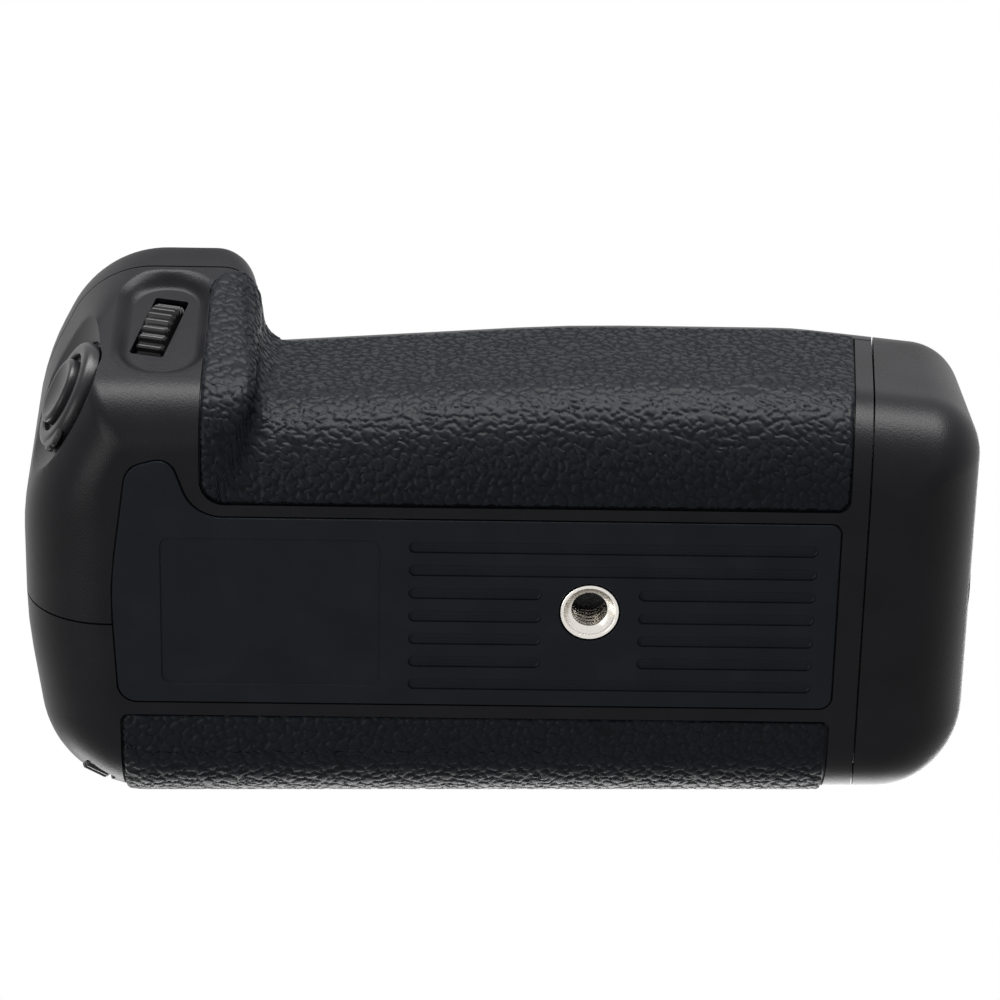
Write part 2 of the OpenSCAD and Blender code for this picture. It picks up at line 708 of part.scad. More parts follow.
// Battery chamber: a tube with a flange at its mouth, on two feet over the chassis plate
chamber_wall = 1.2;
chamber_w = tray_w + 2 * tray_gap;
chamber_h = tray_h + 2 * tray_gap;
chamber_l = tray_l + 2.2;
chamber_x0 = x_cap - chamber_l;
z_chamber = socket_top + 0.6;
z_tray = z_chamber + chamber_wall + tray_gap;
z_chamber_top = z_tray + tray_h + tray_gap + chamber_wall;
flange_depth = 2.5;
cap_plate_t = 2;
plate_gap = 0.3;
latch_z = z_tray + tray_h / 2;
arm_l = 16;
arm_t = 2.2;
arm_w = 5;

// The inside of the housing as seen along its length
shoulder_step = (x_cap + cap_plate_t + 1 - shoulder_x) * tan(shoulder_turn - 270);

module inner_section(gap) {
    front = hand_y + shoulder_step + wall + gap;
    rear = rear_y(x_cap + cap_plate_t) - wall - gap;
    polygon(rounded([[front, z_floor + gap, 12.8], [rear, z_floor + gap, 9.8],
        [rear - top_reach, z_roof - gap, 1.2], [front + hand_top, z_roof - gap, 1.2]], 11.25));
}

module inner_plate(x, t, gap)
    translate([x, 0, 0]) rotate([90, 0, 90]) linear_extrude(t) inner_section(gap);

module battery_chamber() color([0.12, 0.12, 0.13]) difference() {
    union() {
        slab(chamber_x0, x_cap - flange_depth, y_socket - chamber_w / 2 - chamber_wall,
            y_socket + chamber_w / 2 + chamber_wall, z_chamber, z_chamber_top);
        for (x = [chassis_x0 + 8, chassis_x1 - 12])
            slab(x, x + 3, y_socket - 14, y_socket + 14, z_chassis + chassis_t, z_chamber + 0.5);
    }
    slab(chamber_x0 + chamber_wall, x_cap, y_socket - chamber_w / 2, y_socket + chamber_w / 2,
        z_chamber + chamber_wall, z_chamber_top - chamber_wall);
}

module chamber_bulkhead() color([0.12, 0.12, 0.13]) difference() {
    inner_plate(x_cap - flange_depth, flange_depth, inlay_gap);
    slab(x_cap - flange_depth - 1, x_cap + 1, y_socket - chamber_w / 2, y_socket + chamber_w / 2,
        z_chamber + chamber_wall, z_chamber_top - chamber_wall);
    translate([x_cap - flange_depth - 1, y_socket, latch_z]) rotate([0, 90, 0])
        cylinder(r = arm_l + move_gap, h = flange_depth + 2);
}

contact_w = 5;
contact_t = 0.5;
contact_pitch = 9;

// Three contact strips in a row across the bay
module contacts(x, z, h) for (s = [-1, 0, 1])
    translate([x, y_socket + s * contact_pitch - contact_w / 2, z]) cube([contact_t, contact_w, h]);

module chamber_contacts() color("goldenrod") contacts(chamber_x0 + chamber_wall, z_tray + 5, 10);

// Battery tray on the end cap: an open bay, a pocket and a notch that the latch arm turns in
tray_end = 4;
bay_x0 = x_cap - tray_l + tray_end;
tray_top = z_tray + tray_h;

module tray_cut(x0, x1, half, z0) slab(x0, x1, y_socket - half, y_socket + half, z0, tray_top + 1);

module battery_tray() color([0.1, 0.1, 0.11]) difference() {
    half = tray_w / 2;
    slab(x_cap - tray_l, x_cap + plate_gap, y_socket - half, y_socket + half, z_tray, tray_top);
    tray_cut(bay_x0, bay_x0 + bay_l, half - tray_wall, z_tray + tray_wall);
    tray_cut(x_cap - tray_end, x_cap + 1, arm_l + move_gap, z_tray - 1);
    tray_cut(bay_x0 + bay_l + tray_wall, x_cap - tray_end - tray_wall, half - tray_wall,
        z_tray + tray_wall);
}

module tray_contacts() color("goldenrod") contacts(bay_x0, z_tray + tray_wall + 2, 9);

// End cap, its inner plate and the latch
latch_recess = 4.4;
latch_shaft_r = 3;
disc_t = 3.6;
x_end = body_l / 2;
x_disc = x_end - latch_recess + move_gap;
lever_r = 7;
lever_t = 2;
lever_w = 2;
lever_pin_r = 0.6;
lever_pin_l = 2 * latch_r - 1.4;
pocket_gap = 0.35;
arm_gap = 0.2;

module at_latch(x)
    translate([x, y_socket, latch_z]) rotate([0, 90, 0]) rotate([0, 0, 180]) children();

rib_t = 1.2;
cap_rib_count = 8;

module cap_rib() hull() {
    translate([1, -rib_t / 2, latch_r + 2]) cube([cap_l, rib_t, eps]);
    translate([6, -rib_t / 2, 60]) cube([cap_l, rib_t, eps]);
}

module cap_ribs() intersection() {
    form(wall / 2, wall / 2);
    beyond_joint(x_cap + cap_plate_t + 0.5);
    for (i = [0 : cap_rib_count - 1]) translate([x_cap + cap_plate_t, y_socket, latch_z])
        rotate([360 / cap_rib_count * (i + 0.5), 0, 0]) cap_rib();
}

module end_cap() color([0.045, 0.045, 0.05]) {
    difference() {
        intersection() {
            form();
            beyond_joint(x_cap + seam_gap);
        }
        intersection() {
            hollow();
            slab(x_cap - 1, x_end - wall - latch_recess, -far, far, -far, far);
        }
        at_latch(x_end - latch_recess) cylinder(r = latch_r + move_gap, h = 10);
        at_latch(x_cap) cylinder(r = latch_shaft_r + move_gap, h = cap_l);
    }
    difference() {
        cap_ribs();
        slab(x_end - wall - 0.5, far, -far, far, -far, far);
    }
}

module cap_plate() color([0.1, 0.1, 0.11]) difference() {
    inner_plate(x_cap + plate_gap, cap_plate_t, 0.8);
    at_latch(x_cap - 1) cylinder(r = latch_shaft_r + run_gap, h = 10);
}

module lever_axis() at_latch(x_disc + disc_t - lever_t / 2) rotate([0, 90, 0]) children();

module latch_disc() color([0.07, 0.07, 0.075]) difference() {
    union() {
        at_latch(x_disc) cylinder(r = latch_r, h = disc_t);
        at_latch(x_cap - arm_gap) cylinder(r = latch_shaft_r, h = x_disc - x_cap + arm_gap + 0.1);
    }
    at_latch(x_disc + disc_t - lever_t - pocket_gap) difference() {
        cylinder(r = lever_r + pocket_gap, h = 10);
        cylinder(r = lever_r - lever_w - pocket_gap, h = 10);
        translate([-20, -40 - lever_t / 2 - pocket_gap, -1]) cube([40, 40, 20]);
    }
    lever_axis() cylinder(r = lever_pin_r, h = lever_pin_l, center = true);
}

module latch_arm() color("silver") at_latch(x_cap - arm_gap - arm_t) {
    translate([-arm_w / 2, -arm_w / 2, 0]) cube([arm_l + arm_w / 2 - 0.4, arm_w, arm_t]);
    cylinder(r = latch_shaft_r + 1, h = arm_t);
}

module latch_lever() color([0.06, 0.06, 0.065]) at_latch(x_disc + disc_t - lever_t) difference() {
    union() {
        difference() {
            cylinder(r = lever_r, h = lever_t);
            translate([0, 0, -1]) cylinder(r = lever_r - lever_w, h = 10);
            translate([-20, -40, -1]) cube([40, 40, 20]);
        }
        for (s = [-1, 1]) translate([s * (lever_r - lever_w / 2), 0, lever_t / 2])
            rotate([0, 90, 0]) cylinder(r = lever_t / 2, h = lever_w, center = true);
    }
    translate([0, 0, lever_t / 2]) rotate([0, 90, 0])
        cylinder(r = lever_pin_r + run_gap, h = 40, center = true);
}

module latch_pin() color("silver") lever_axis()
    cylinder(r = lever_pin_r, h = lever_pin_l, center = true);

// Drive of the mounting screw: a thumb wheel whose gear turns the screw's gear
gear_clear = 0.18;
z_drive = z_chamber_top;
drive_t = 1;
drive_half = 10;
z_wheel = z_drive + drive_t + 0.2;
wheel_y = y_socket + gear_module * (screw_teeth + wheel_teeth) / 2;
wheel_r = y_rear + wheel_proud - wheel_y;
z_gear = z_lid + 0.2;
gear_t = 2.8;
wheel_axle_r = 2;
screw_foot_r = 2;
gear_hub_r = 4;
bush_r = 5;

// Straight-sided teeth: half a tooth is listed from root to tip as height and half width
module gear_outline(teeth, gap_first) {
    pitch_r = gear_module * teeth / 2;
    half = gear_module * PI / 4 - gear_clear;
    flank = [[-1.2, half + 0.32], [0, half], [0.85, half - 0.38]];
    tooth = concat(flank, [for (k = [2, 1, 0]) [flank[k][0], -flank[k][1]]]);
    polygon([for (i = [0 : teeth - 1])
        let (a = 360 * (i + (gap_first ? 0.5 : 0)) / teeth)
        for (p = tooth)
            let (r = pitch_r + p[0] * gear_module, turn = a - p[1] * 180 / PI / pitch_r)
            r * [cos(turn), sin(turn)]]);
}

module drive_plate() color("gray") difference() {
    slab(socket_x - drive_half, socket_x + drive_half, y_socket - 8, wheel_y + 5,
        z_drive, z_drive + drive_t);
    translate([socket_x, y_socket, z_drive - 1]) cylinder(r = screw_foot_r + run_gap, h = 4);
    translate([socket_x, wheel_y, z_drive - 1]) cylinder(r = wheel_axle_r, h = 4);
}

module wheel_axle() color("silver") translate([socket_x, wheel_y, z_drive])
    cylinder(r = wheel_axle_r, h = z_roof - z_drive);

wheel_ribs = 60;

module attachment_wheel() color([0.06, 0.06, 0.065]) translate([socket_x, wheel_y, 0]) difference() {
    union() {
        translate([0, 0, z_wheel]) linear_extrude(wheel_t) difference() {
            circle(r = wheel_r);
            for (i = [0 : wheel_ribs - 1]) rotate(360 * i / wheel_ribs) translate([wheel_r, 0])
                circle(r = rib_depth, $fn = 6);
        }
        translate([0, 0, z_wheel + wheel_t - eps])
            cylinder(r = gear_hub_r, h = z_gear - z_wheel - wheel_t + 2 * eps);
        translate([0, 0, z_gear]) linear_extrude(gear_t) rotate(-90) gear_outline(wheel_teeth, false);
    }
    translate([0, 0, z_drive]) cylinder(r = wheel_axle_r + run_gap, h = 20);
}

// The screw stands in the drive plate and the bush; an undercut parts its journal from the thread
relief_h = 0.8;
relief_depth = 0.35;
screw_chamfer = 0.8;

module mounting_screw() color("silver") translate([socket_x, y_socket, 0]) {
    translate([0, 0, z_drive + 0.1]) cylinder(r = screw_foot_r, h = z_gear - z_drive);
    translate([0, 0, z_drive + drive_t + 0.3])
        cylinder(r = gear_hub_r, h = z_gear - z_drive - drive_t);
    translate([0, 0, z_gear + 0.1]) linear_extrude(gear_t - 0.2) rotate(90) gear_outline(screw_teeth, true);
    translate([0, 0, z_gear + gear_t - 0.2]) rotate_extrude() {
        low = z_gear + gear_t - 0.2;
        neck = body_h - relief_h + 0.2 - low;
        tip = body_h + screw_proud - low;
        polygon([[0, 0], [screw_r, 0], [screw_r, neck], [screw_r - relief_depth, neck],
            [screw_r - relief_depth, neck + relief_h], [screw_r, neck + relief_h],
            [screw_r, tip - screw_chamfer], [screw_r - screw_chamfer, tip], [0, tip]]);
    }
}

module screw_bush() color("goldenrod") translate([socket_x, y_socket, z_roof]) difference() {
    cylinder(r = bush_r, h = wall);
    translate([0, 0, -1]) cylinder(r = screw_r + run_gap, h = wall + 2);
}

// Circuit board on posts, with the connector that reaches the camera
board_gap = 3.2;
board_x0 = x_left + 12;
board_x1 = chamber_x0 - board_gap;
board_y0 = y_socket - 14;
board_y1 = y_socket + 22;
board_t = 1.6;
z_board = z_roof - 8.5;
BOARD_POSTS = [[board_x0 + 4, board_y0 + 4], [board_x1 - 4, board_y0 + 4],
    [board_x0 + 4, y_socket + 9], [board_x1 - 4, board_y1 - 4]];
board_screw_r = 1;
connector_l = 22;
connector_w = 7;
connector_x = board_x1 - connector_l / 2 - 3;
connector_y = y_socket + 2;
connector_proud = 4;

module circuit_board() color([0.05, 0.25, 0.12]) difference() {
    slab(board_x0, board_x1, board_y0, board_y1, z_board, z_board + board_t);
    for (p = BOARD_POSTS) translate([p[0], p[1], z_board - 1])
        cylinder(r = board_screw_r + 2 * screw_gap, h = board_t + 2);
}

module board_screws() color("silver") for (p = BOARD_POSTS) translate([p[0], p[1], z_board - 4]) {
    cylinder(r = board_screw_r, h = board_t + 4.5);
    translate([0, 0, board_t + 4]) cylinder(r = 1.9, h = 1.2);
}

module signal_connector() color([0.08, 0.08, 0.09])
    translate([connector_x - connector_l / 2, connector_y - connector_w / 2, z_board + board_t])
        cube([connector_l, connector_w, body_h + connector_proud - z_board - board_t]);

pin_count = 10;
pin_pitch = 1.9;

module signal_pins() color("goldenrod") for (i = [0 : pin_count - 1])
    translate([connector_x + (i - (pin_count - 1) / 2) * pin_pitch, connector_y, body_h + connector_proud])
        cylinder(r = 0.5, h = 0.8);

LOCATORS = [[x_cap - 8, y_socket - 16], [socket_x - 24, y_socket + 20]];
locator_r = 1.5;
locator_l = wall + 1.9;
locator_chamfer = 0.5;

module locating_pins() color("silver") for (p = LOCATORS) translate([p[0], p[1], z_roof]) {
    cylinder(r = locator_r, h = locator_l);
    translate([0, 0, locator_l])
        cylinder(r1 = locator_r, r2 = locator_r - locator_chamfer, h = locator_chamfer);
}

// Lid screws hold the top shell to the front and rear shells
LID_SCREWS = [[rest_x - 6.5, y_front + 9.5], [x_left + 8, y_socket + 10],
    [chamber_x0 - 4.8, y_socket - 24], [x_left + 58, y_socket + 29],
    [x_cap - 7.5, y_socket - 27], [x_cap - 7.5, y_socket + 29]];
lid_screw_r = 1.3;
lid_head_r = 2.3;
lid_head_h = 1.3;
lid_head_sink = 0.3;
lid_screw_l = 9;
z_lid_head = body_h - lid_head_h - lid_head_sink;

module lid_screws() color("dimgray") for (p = LID_SCREWS) translate([p[0], p[1], z_lid_head]) {
    translate([0, 0, -lid_screw_l]) cylinder(r = lid_screw_r, h = lid_screw_l + 0.3);
    difference() {
        cylinder(r = lid_head_r, h = lid_head_h);
        for (a = [0, 90]) rotate(a) translate([-1.2, -0.25, lid_head_h - 0.7]) cube([2.4, 0.5, 1]);
    }
}

module lid_posts(front) for (p = LID_SCREWS) if ((p[1] < y_seam) == front) difference() {
    union() {
        intersection() {
            form(wall / 2, wall / 2);
            tapered_boss(p[0], p[1], 0, z_lid - seam_gap, 2.9);
        }
        translate([p[0], p[1], z_lid - 2]) cylinder(r = 2.6, h = z_roof - z_lid + 1.2, $fn = 32);
    }
    translate([p[0], p[1], z_lid - 20]) cylinder(r = lid_screw_r + screw_gap, h = 40, $fn = 32);
}

// Housing shells
module shell_body() difference() {
    intersection() {
        form();
        slab(-far, far, -far, far, -far, z_lid - seam_gap);
    }
    beyond_joint(x_cap);
    hollow();
    translate([0, 0, -1]) linear_extrude(plate_t + 1) plate_outline(inlay_gap);
    intersection() {
        rubber_pocket();
        union() {
            front_rubber_zone(inlay_gap);
            rear_rubber_zone(inlay_gap);
        }
    }
    front_pegs(peg_gap);
    rear_pegs(peg_gap);
    translate([socket_x, y_socket, -1]) cylinder(r = socket_rim_r + eps, h = 10);
}

seam_depth = 0.9;

module seam_groove() difference() {
    slab(-far, plate_x0 + 2, y_seam - seam_gap, y_seam, -far, far);
    form(seam_depth, seam_depth);
}

module board_post(p) difference() {
    tapered_boss(p[0], p[1], z_floor - 0.3, z_board, 2.2);
    translate([p[0], p[1], z_board - 6]) cylinder(r = board_screw_r + screw_gap, h = 10, $fn = 32);
}

// Ribs on the floor carry the chassis plate
RIB_X = [chassis_x0 + 4, chassis_x1 - 6];
rib_clear = 9;

module floor_rib(x, y0, y1) hull() {
    slab(x, x + rib_t, y0, y1, z_floor - 0.3, z_floor);
    slab(x, x + rib_t, y0 + 1, y1 - 1, z_floor, z_chassis);
}

// Pads thicken the wall behind the hollow round the shutter button and behind the scoop
pad_r = dish_r + 2.2;

module shutter_pad() intersection() {
    form(wall / 2, wall / 2);
    at_shutter() translate([0, 0, -wall]) cylinder(r = pad_r, h = wall + shutter_sink);
}

module shutter_hollow() at_shutter() {
    translate([0, 0, shutter_sink - hollow_depth + hollow_r]) sphere(r = hollow_r);
    cylinder(r = dish_r, h = shutter_sink);
}

module scoop_pad() intersection() {
    form(wall / 2, wall / 2);
    at_scoop(scoop_depth + wall) translate([-scoop_w / 2, -scoop_h / 2 - scoop_drop, 0])
        cube([scoop_w, scoop_h, scoop_depth + wall]);
}

module front_shell() color([0.045, 0.045, 0.05]) {
    difference() {
        union() {
            intersection() {
                shell_body();
                slab(-far, far, -far, y_seam, -far, far);
            }
            shutter_pad();
            scoop_pad();
        }
        seam_groove();
        scoop();
        shutter_hollow();
        at_front_dial(scoop_depth) dial_slot(front_slot_h, wall, 6);
        at_front_dial(scoop_depth + slot_lip) dial_slot(2 * front_dial_r + slot_gap, wall + 4, 0);
        at_shutter() sleeve_hole(shutter_r);
        at_function() sleeve_hole(function_r);
        at_function() cylinder(r1 = function_r + 2, r2 = function_r + 3.2, h = 3);
    }
    for (p = BOARD_POSTS) if (p[1] < y_seam) board_post(p);
    lid_posts(true);
    for (x = RIB_X) floor_rib(x, y_socket - chassis_half, y_socket - rib_clear);
}

module rear_shell() color([0.045, 0.045, 0.05]) {
    difference() {
        intersection() {
            shell_body();
            slab(-far, far, y_seam, far, -far, far);
        }
        at_rear_corner(0) dial_slot(rear_slot_h, wall + 6, 6);
        at_focus() sleeve_hole(focus_r);
        at_selector() translate([0, 0, -20]) cylinder(r = selector_hole_r, h = 30);
        slab(socket_x - wheel_r, socket_x + wheel_r, y_rear - wall - 3, far, z_wheel - move_gap, far);
    }
    for (p = BOARD_POSTS) if (p[1] > y_seam) board_post(p);
    lid_posts(false);
    for (x = RIB_X) floor_rib(x, y_socket + rib_clear, y_socket + chassis_half);
}

module top_shell() color([0.05, 0.05, 0.055]) difference() {
    intersection() {
        form(rise = 1);
        slab(-far, far, -far, far, z_lid, body_h);
    }
    beyond_joint(x_cap);
    intersection() {
        form(wall, wall, 22.5, 1);
        slab(-far, far, -far, far, -far, z_roof);
    }
    translate([socket_x, y_socket, z_roof - 1]) cylinder(r = bush_r, h = 10);
    for (p = LOCATORS) translate([p[0], p[1], z_roof - 1]) cylinder(r = locator_r, h = 10);
    for (p = LID_SCREWS) translate([p[0], p[1], 0]) {
        translate([0, 0, z_lid - 1]) cylinder(r = lid_screw_r + 2 * screw_gap, h = 10);
        translate([0, 0, z_lid_head]) cylinder(r = lid_head_r + 0.15, h = 10);
    }
    translate([socket_x, wheel_y, z_lid - 1])
        cylinder(r = gear_module * wheel_teeth / 2 + 1.3, h = gear_t + 1.5);
    translate([connector_x - connector_l / 2, connector_y - connector_w / 2, z_roof - 1])
        cube([connector_l, connector_w, 10]);
}

front_shell();
rear_shell();
top_shell();
end_cap();
cap_plate();
base_plate();
front_grip_rubber();
rear_grip_rubber();
tripod_socket();
chassis_plate();
battery_chamber();
chamber_bulkhead();
chamber_contacts();
circuit_board();
board_screws();
signal_connector();
signal_pins();
locating_pins();
screw_bush();
drive_plate();
wheel_axle();
attachment_wheel();
mounting_screw();
shutter_guide();
shutter_button();
lock_ring();
shutter_switch();
function_sleeve();
function_button();
function_switch();
focus_sleeve();
focus_button();
focus_switch();
front_dial();
front_dial_axle();
front_dial_bracket();
rear_dial();
rear_dial_axle();
rear_dial_bracket();
selector_base();
selector_gimbal();
selector_stick();
battery_tray();
tray_contacts();
latch_disc();
latch_arm();
latch_lever();
latch_pin();
lid_screws();
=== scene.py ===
import json
import math
from collections import namedtuple

import bmesh
import bpy
import numpy as np
from mathutils import Matrix, Vector
from mathutils.kdtree import KDTree


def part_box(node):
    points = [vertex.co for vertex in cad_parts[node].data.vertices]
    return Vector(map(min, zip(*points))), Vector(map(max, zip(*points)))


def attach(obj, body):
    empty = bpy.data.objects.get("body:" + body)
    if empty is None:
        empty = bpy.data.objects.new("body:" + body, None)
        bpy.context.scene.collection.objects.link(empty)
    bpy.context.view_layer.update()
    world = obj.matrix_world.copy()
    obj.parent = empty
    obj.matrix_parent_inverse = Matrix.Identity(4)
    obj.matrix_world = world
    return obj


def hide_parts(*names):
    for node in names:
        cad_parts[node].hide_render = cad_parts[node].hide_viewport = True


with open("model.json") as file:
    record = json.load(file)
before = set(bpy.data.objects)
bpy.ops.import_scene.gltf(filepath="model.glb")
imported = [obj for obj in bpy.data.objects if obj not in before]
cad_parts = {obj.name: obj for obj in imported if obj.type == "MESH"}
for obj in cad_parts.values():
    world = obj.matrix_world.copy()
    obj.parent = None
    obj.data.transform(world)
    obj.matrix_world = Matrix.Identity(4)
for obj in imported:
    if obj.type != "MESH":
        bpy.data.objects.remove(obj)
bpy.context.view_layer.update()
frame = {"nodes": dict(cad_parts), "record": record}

# Sizes are in millimetres; MM turns them into metres
MM = 0.001
FAR = 200.0


def node_box(node):
    low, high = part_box(node)
    return np.array(low) / MM, np.array(high) / MM


# Places that come from the frame
MOUNTS = {mount["name"]: mount for mount in frame["record"]["mounts"]}
socket_x, y_socket, _ = np.array(MOUNTS["tripod_socket"]["pos_m"]) / MM
shell_low = node_box("front_shell")[0]
lid_low, lid_high = node_box("top_shell")
x_left = shell_low[0]
x_end = node_box("end_cap")[1][0]
body_h = lid_high[2]
z_lid = lid_low[2]
z_base = shell_low[2]
lid_h = body_h - z_lid
y_rear = y_socket + 34.8
y_front = y_rear - 79.9
y_seam = y_socket + 3.2
x_cap = x_end - 18.9

# Sizes of the mouldings
WALL = 2.0
SEAM = 0.3
CAP_LEAN = 0.1
REST_LEAN = 0.28
FACE_LEAN = 0.15
FACE_TURN = 207.9
REAR_TURN = 0.7
LEFT_TURN = 8.0
REST_TURN = 353.0
SHOULDER_TURN = 276.0
HAND_TURN = 266.0
HAND_FALL = 0.85
HAND_TOP = 3.2
REST_TOP = 0.6
TOP_REACH = 1.2
ROUND_H = 14.0
PRESS = 0.02
hand_y = y_rear - 68.4
rest_x = x_left + 36
shoulder_x = x_cap - 9
left_bend_y = y_socket + 8
face_out = -x_left * 0.9 + 8.7
z_roof = body_h - WALL


def sin(angle):
    return math.sin(math.radians(angle))


def cos(angle):
    return math.cos(math.radians(angle))


# The housing's outline, one row per side, counter-clockwise from the end cap: facing angle,
# distance at the top, lean, reach and height of the bottom rounding, radius to the next
# side, how fast that radius shrinks, reach of the top rounding
Side = namedtuple("Side", "angle out lean foot_reach foot_h radius shrink top_reach")
left_out = -x_left * cos(LEFT_TURN) + left_bend_y * sin(LEFT_TURN)
rest_out = rest_x * cos(REST_TURN) + (y_front + hand_y) / 2 * sin(REST_TURN)
shoulder_out = shoulder_x * cos(SHOULDER_TURN) + hand_y * sin(SHOULDER_TURN)
SIDES = [
    Side(0, x_end, 0, 13, 15, 14, 1, TOP_REACH),
    Side(90 - REAR_TURN, y_rear, 0, 11, 11, 17, 1, TOP_REACH),
    Side(180 - LEFT_TURN, left_out, 0, 14, 16, 70, 1, TOP_REACH),
    Side(180, -x_left, 0, 14, 16, 36, 1, TOP_REACH),
    Side(FACE_TURN, face_out, FACE_LEAN, 8, 10, 20, 4, TOP_REACH),
    Side(270, -y_front, REST_LEAN, 7, 8, 6.5, 1, REST_TOP),
    Side(REST_TURN, rest_out, 0, 7, 10, 4, 1, TOP_REACH),
    Side(HAND_TURN, -hand_y - HAND_FALL, 0, 14, 14, 250, 1, HAND_TOP),
    Side(270, -hand_y, 0, 14, 14, 60, 1, HAND_TOP),
    Side(SHOULDER_TURN, shoulder_out, 0, 14, 14, 9.5, 1, HAND_TOP),
]
REAR_SIDE = 1
LEFT_SIDE = 2
REST_SIDE = 5
SHOULDER_SIDE = 9
MIN_ROUND = 1.0
MIN_RADIUS = 2.5
ARC_ROOM = 0.48

# How finely the housing is divided
ARC_STEP = 4.0
LINE_STEP = 2.5
WALL_STEP = 1.6
FOOT_STEPS = 16
TOP_STEPS = 8


def after(i):
    return (i + 1) % len(SIDES)


def quarter(reach, share):
    return reach * (1 - math.sqrt(max(0.0, 1 - share * share)))


def reach_at(side, z, skin, lift):
    """Distance of a side from the origin at a height, inside the housing by skin."""
    up = z - z_lid + max(skin, 0)
    top = quarter(side.top_reach, up / lid_h) if up > 0 else 0
    height = max(side.foot_h - lift, MIN_ROUND)
    reach = max(side.foot_reach - lift, MIN_ROUND)
    above = z - z_base - lift
    foot = quarter(reach, (height - above) / height) if above < height else 0
    return side.out - side.lean * (body_h - z) - skin - top - foot


def meet(angle_a, reach_a, angle_b, reach_b):
    """The point where two sides cross."""
    d = sin(angle_b - angle_a)
    return np.array([(reach_a * sin(angle_b) - reach_b * sin(angle_a)) / d,
                     (reach_b * cos(angle_a) - reach_a * cos(angle_b)) / d])


def turn_of(i):
    turn = SIDES[after(i)].angle - SIDES[i].angle
    return turn + 360 if turn < -180 else turn


def arcs_at(z, skin=0.0, lift=0.0):
    """The rounded corner after each side: its centre and its radius, negative in a hollow."""
    n = len(SIDES)
    reach = [reach_at(side, z, skin, lift) for side in SIDES]
    corner = [meet(SIDES[i].angle, reach[i], SIDES[after(i)].angle, reach[after(i)]) for i in range(n)]
    arcs = []
    for i in range(n):
        j = after(i)
        drop = (SIDES[i].out - reach[i] + SIDES[j].out - reach[j]) / 2
        shorter = min(np.linalg.norm(corner[i] - corner[i - 1]), np.linalg.norm(corner[j] - corner[i]))
        room = ARC_ROOM * shorter / math.tan(math.radians(abs(turn_of(i)) / 2))
        radius = min(max(SIDES[i].radius - SIDES[i].shrink * drop, MIN_RADIUS), room)
        radius = math.copysign(radius, turn_of(i))
        arcs.append((meet(SIDES[i].angle, reach[i] - radius, SIDES[j].angle, reach[j] - radius), radius))
    return arcs


def arc_points(arcs, i, count):
    centre, radius = arcs[i]
    angles = [SIDES[i].angle + turn_of(i) * k / count for k in range(count + 1)]
    return [centre + radius * np.array([cos(a), sin(a)]) for a in angles]


def stretch(arcs, i, arc_count, line_count):
    """The corner after side i and the straight run that follows it."""
    corner = arc_points(arcs, i, arc_count)
    goal = arc_points(arcs, after(i), 1)[0]
    run = [corner[-1] + (goal - corner[-1]) * k / line_count for k in range(1, line_count)]
    return corner + run


def counts():
    """How many steps each corner and each straight run takes, the same at every height."""
    arcs = arcs_at(body_h / 2)
    out = []
    for i in range(len(SIDES)):
        start = arc_points(arcs, i, 1)[1]
        goal = arc_points(arcs, after(i), 1)[0]
        arc = max(2, math.ceil(abs(turn_of(i)) / ARC_STEP))
        out.append((arc, max(1, math.ceil(np.linalg.norm(goal - start) / LINE_STEP))))
    return out


COUNTS = counts()


def ring(z, skin=0.0, lift=0.0):
    arcs = arcs_at(z, skin, lift)
    flat = [p for i, (arc, line) in enumerate(COUNTS) for p in stretch(arcs, i, arc, line)]
    return np.column_stack([np.array(flat), np.full(len(flat), z)])


def levels(lift, roof):
    """Heights of the housing's rings, closer together in the rounded foot and top."""
    rise = ROUND_H - lift
    foot = [z_base + lift + rise * (1 - cos(90 * k / FOOT_STEPS)) for k in range(FOOT_STEPS + 1)]
    wall = list(np.arange(z_base + ROUND_H + WALL_STEP, roof - lid_h - WALL_STEP / 2, WALL_STEP))
    top = [roof - lid_h * (1 - sin(90 * k / TOP_STEPS)) for k in range(TOP_STEPS + 1)]
    return foot + wall + top


# Mesh helpers
def solid(name, points, faces):
    mesh = bpy.data.meshes.new(name)
    mesh.from_pydata([tuple(p) for p in np.asarray(points, float) * MM], [], faces)
    mesh.validate()
    piece = bpy.data.objects.new(name, mesh)
    bpy.context.scene.collection.objects.link(piece)
    return piece


def tube(name, rings):
    """A closed solid through rings of equal length, each counter-clockwise seen from the last one."""
    n, m = len(rings[0]), len(rings)
    faces = [(i * n + k, i * n + (k + 1) % n, (i + 1) * n + (k + 1) % n, (i + 1) * n + k)
             for i in range(m - 1) for k in range(n)]
    faces.append(tuple(reversed(range(n))))
    faces.append(tuple(range((m - 1) * n, m * n)))
    return solid(name, np.vstack(rings), faces)


def housing_form(name, skin=0.0, lift=0.0):
    roof = body_h - max(skin, 0)
    return tube(name, [ring(z, skin, lift) for z in levels(lift, roof)])


def lifted(outline, z):
    return np.column_stack([np.asarray(outline, float), np.full(len(outline), float(z))])


def prism(name, outline, z0, z1):
    return tube(name, [lifted(outline, z0), lifted(outline, z1)])


def block(name, low, high):
    (x0, y0, z0), (x1, y1, z1) = low, high
    return prism(name, [(x0, y0), (x1, y0), (x1, y1), (x0, y1)], z0, z1)


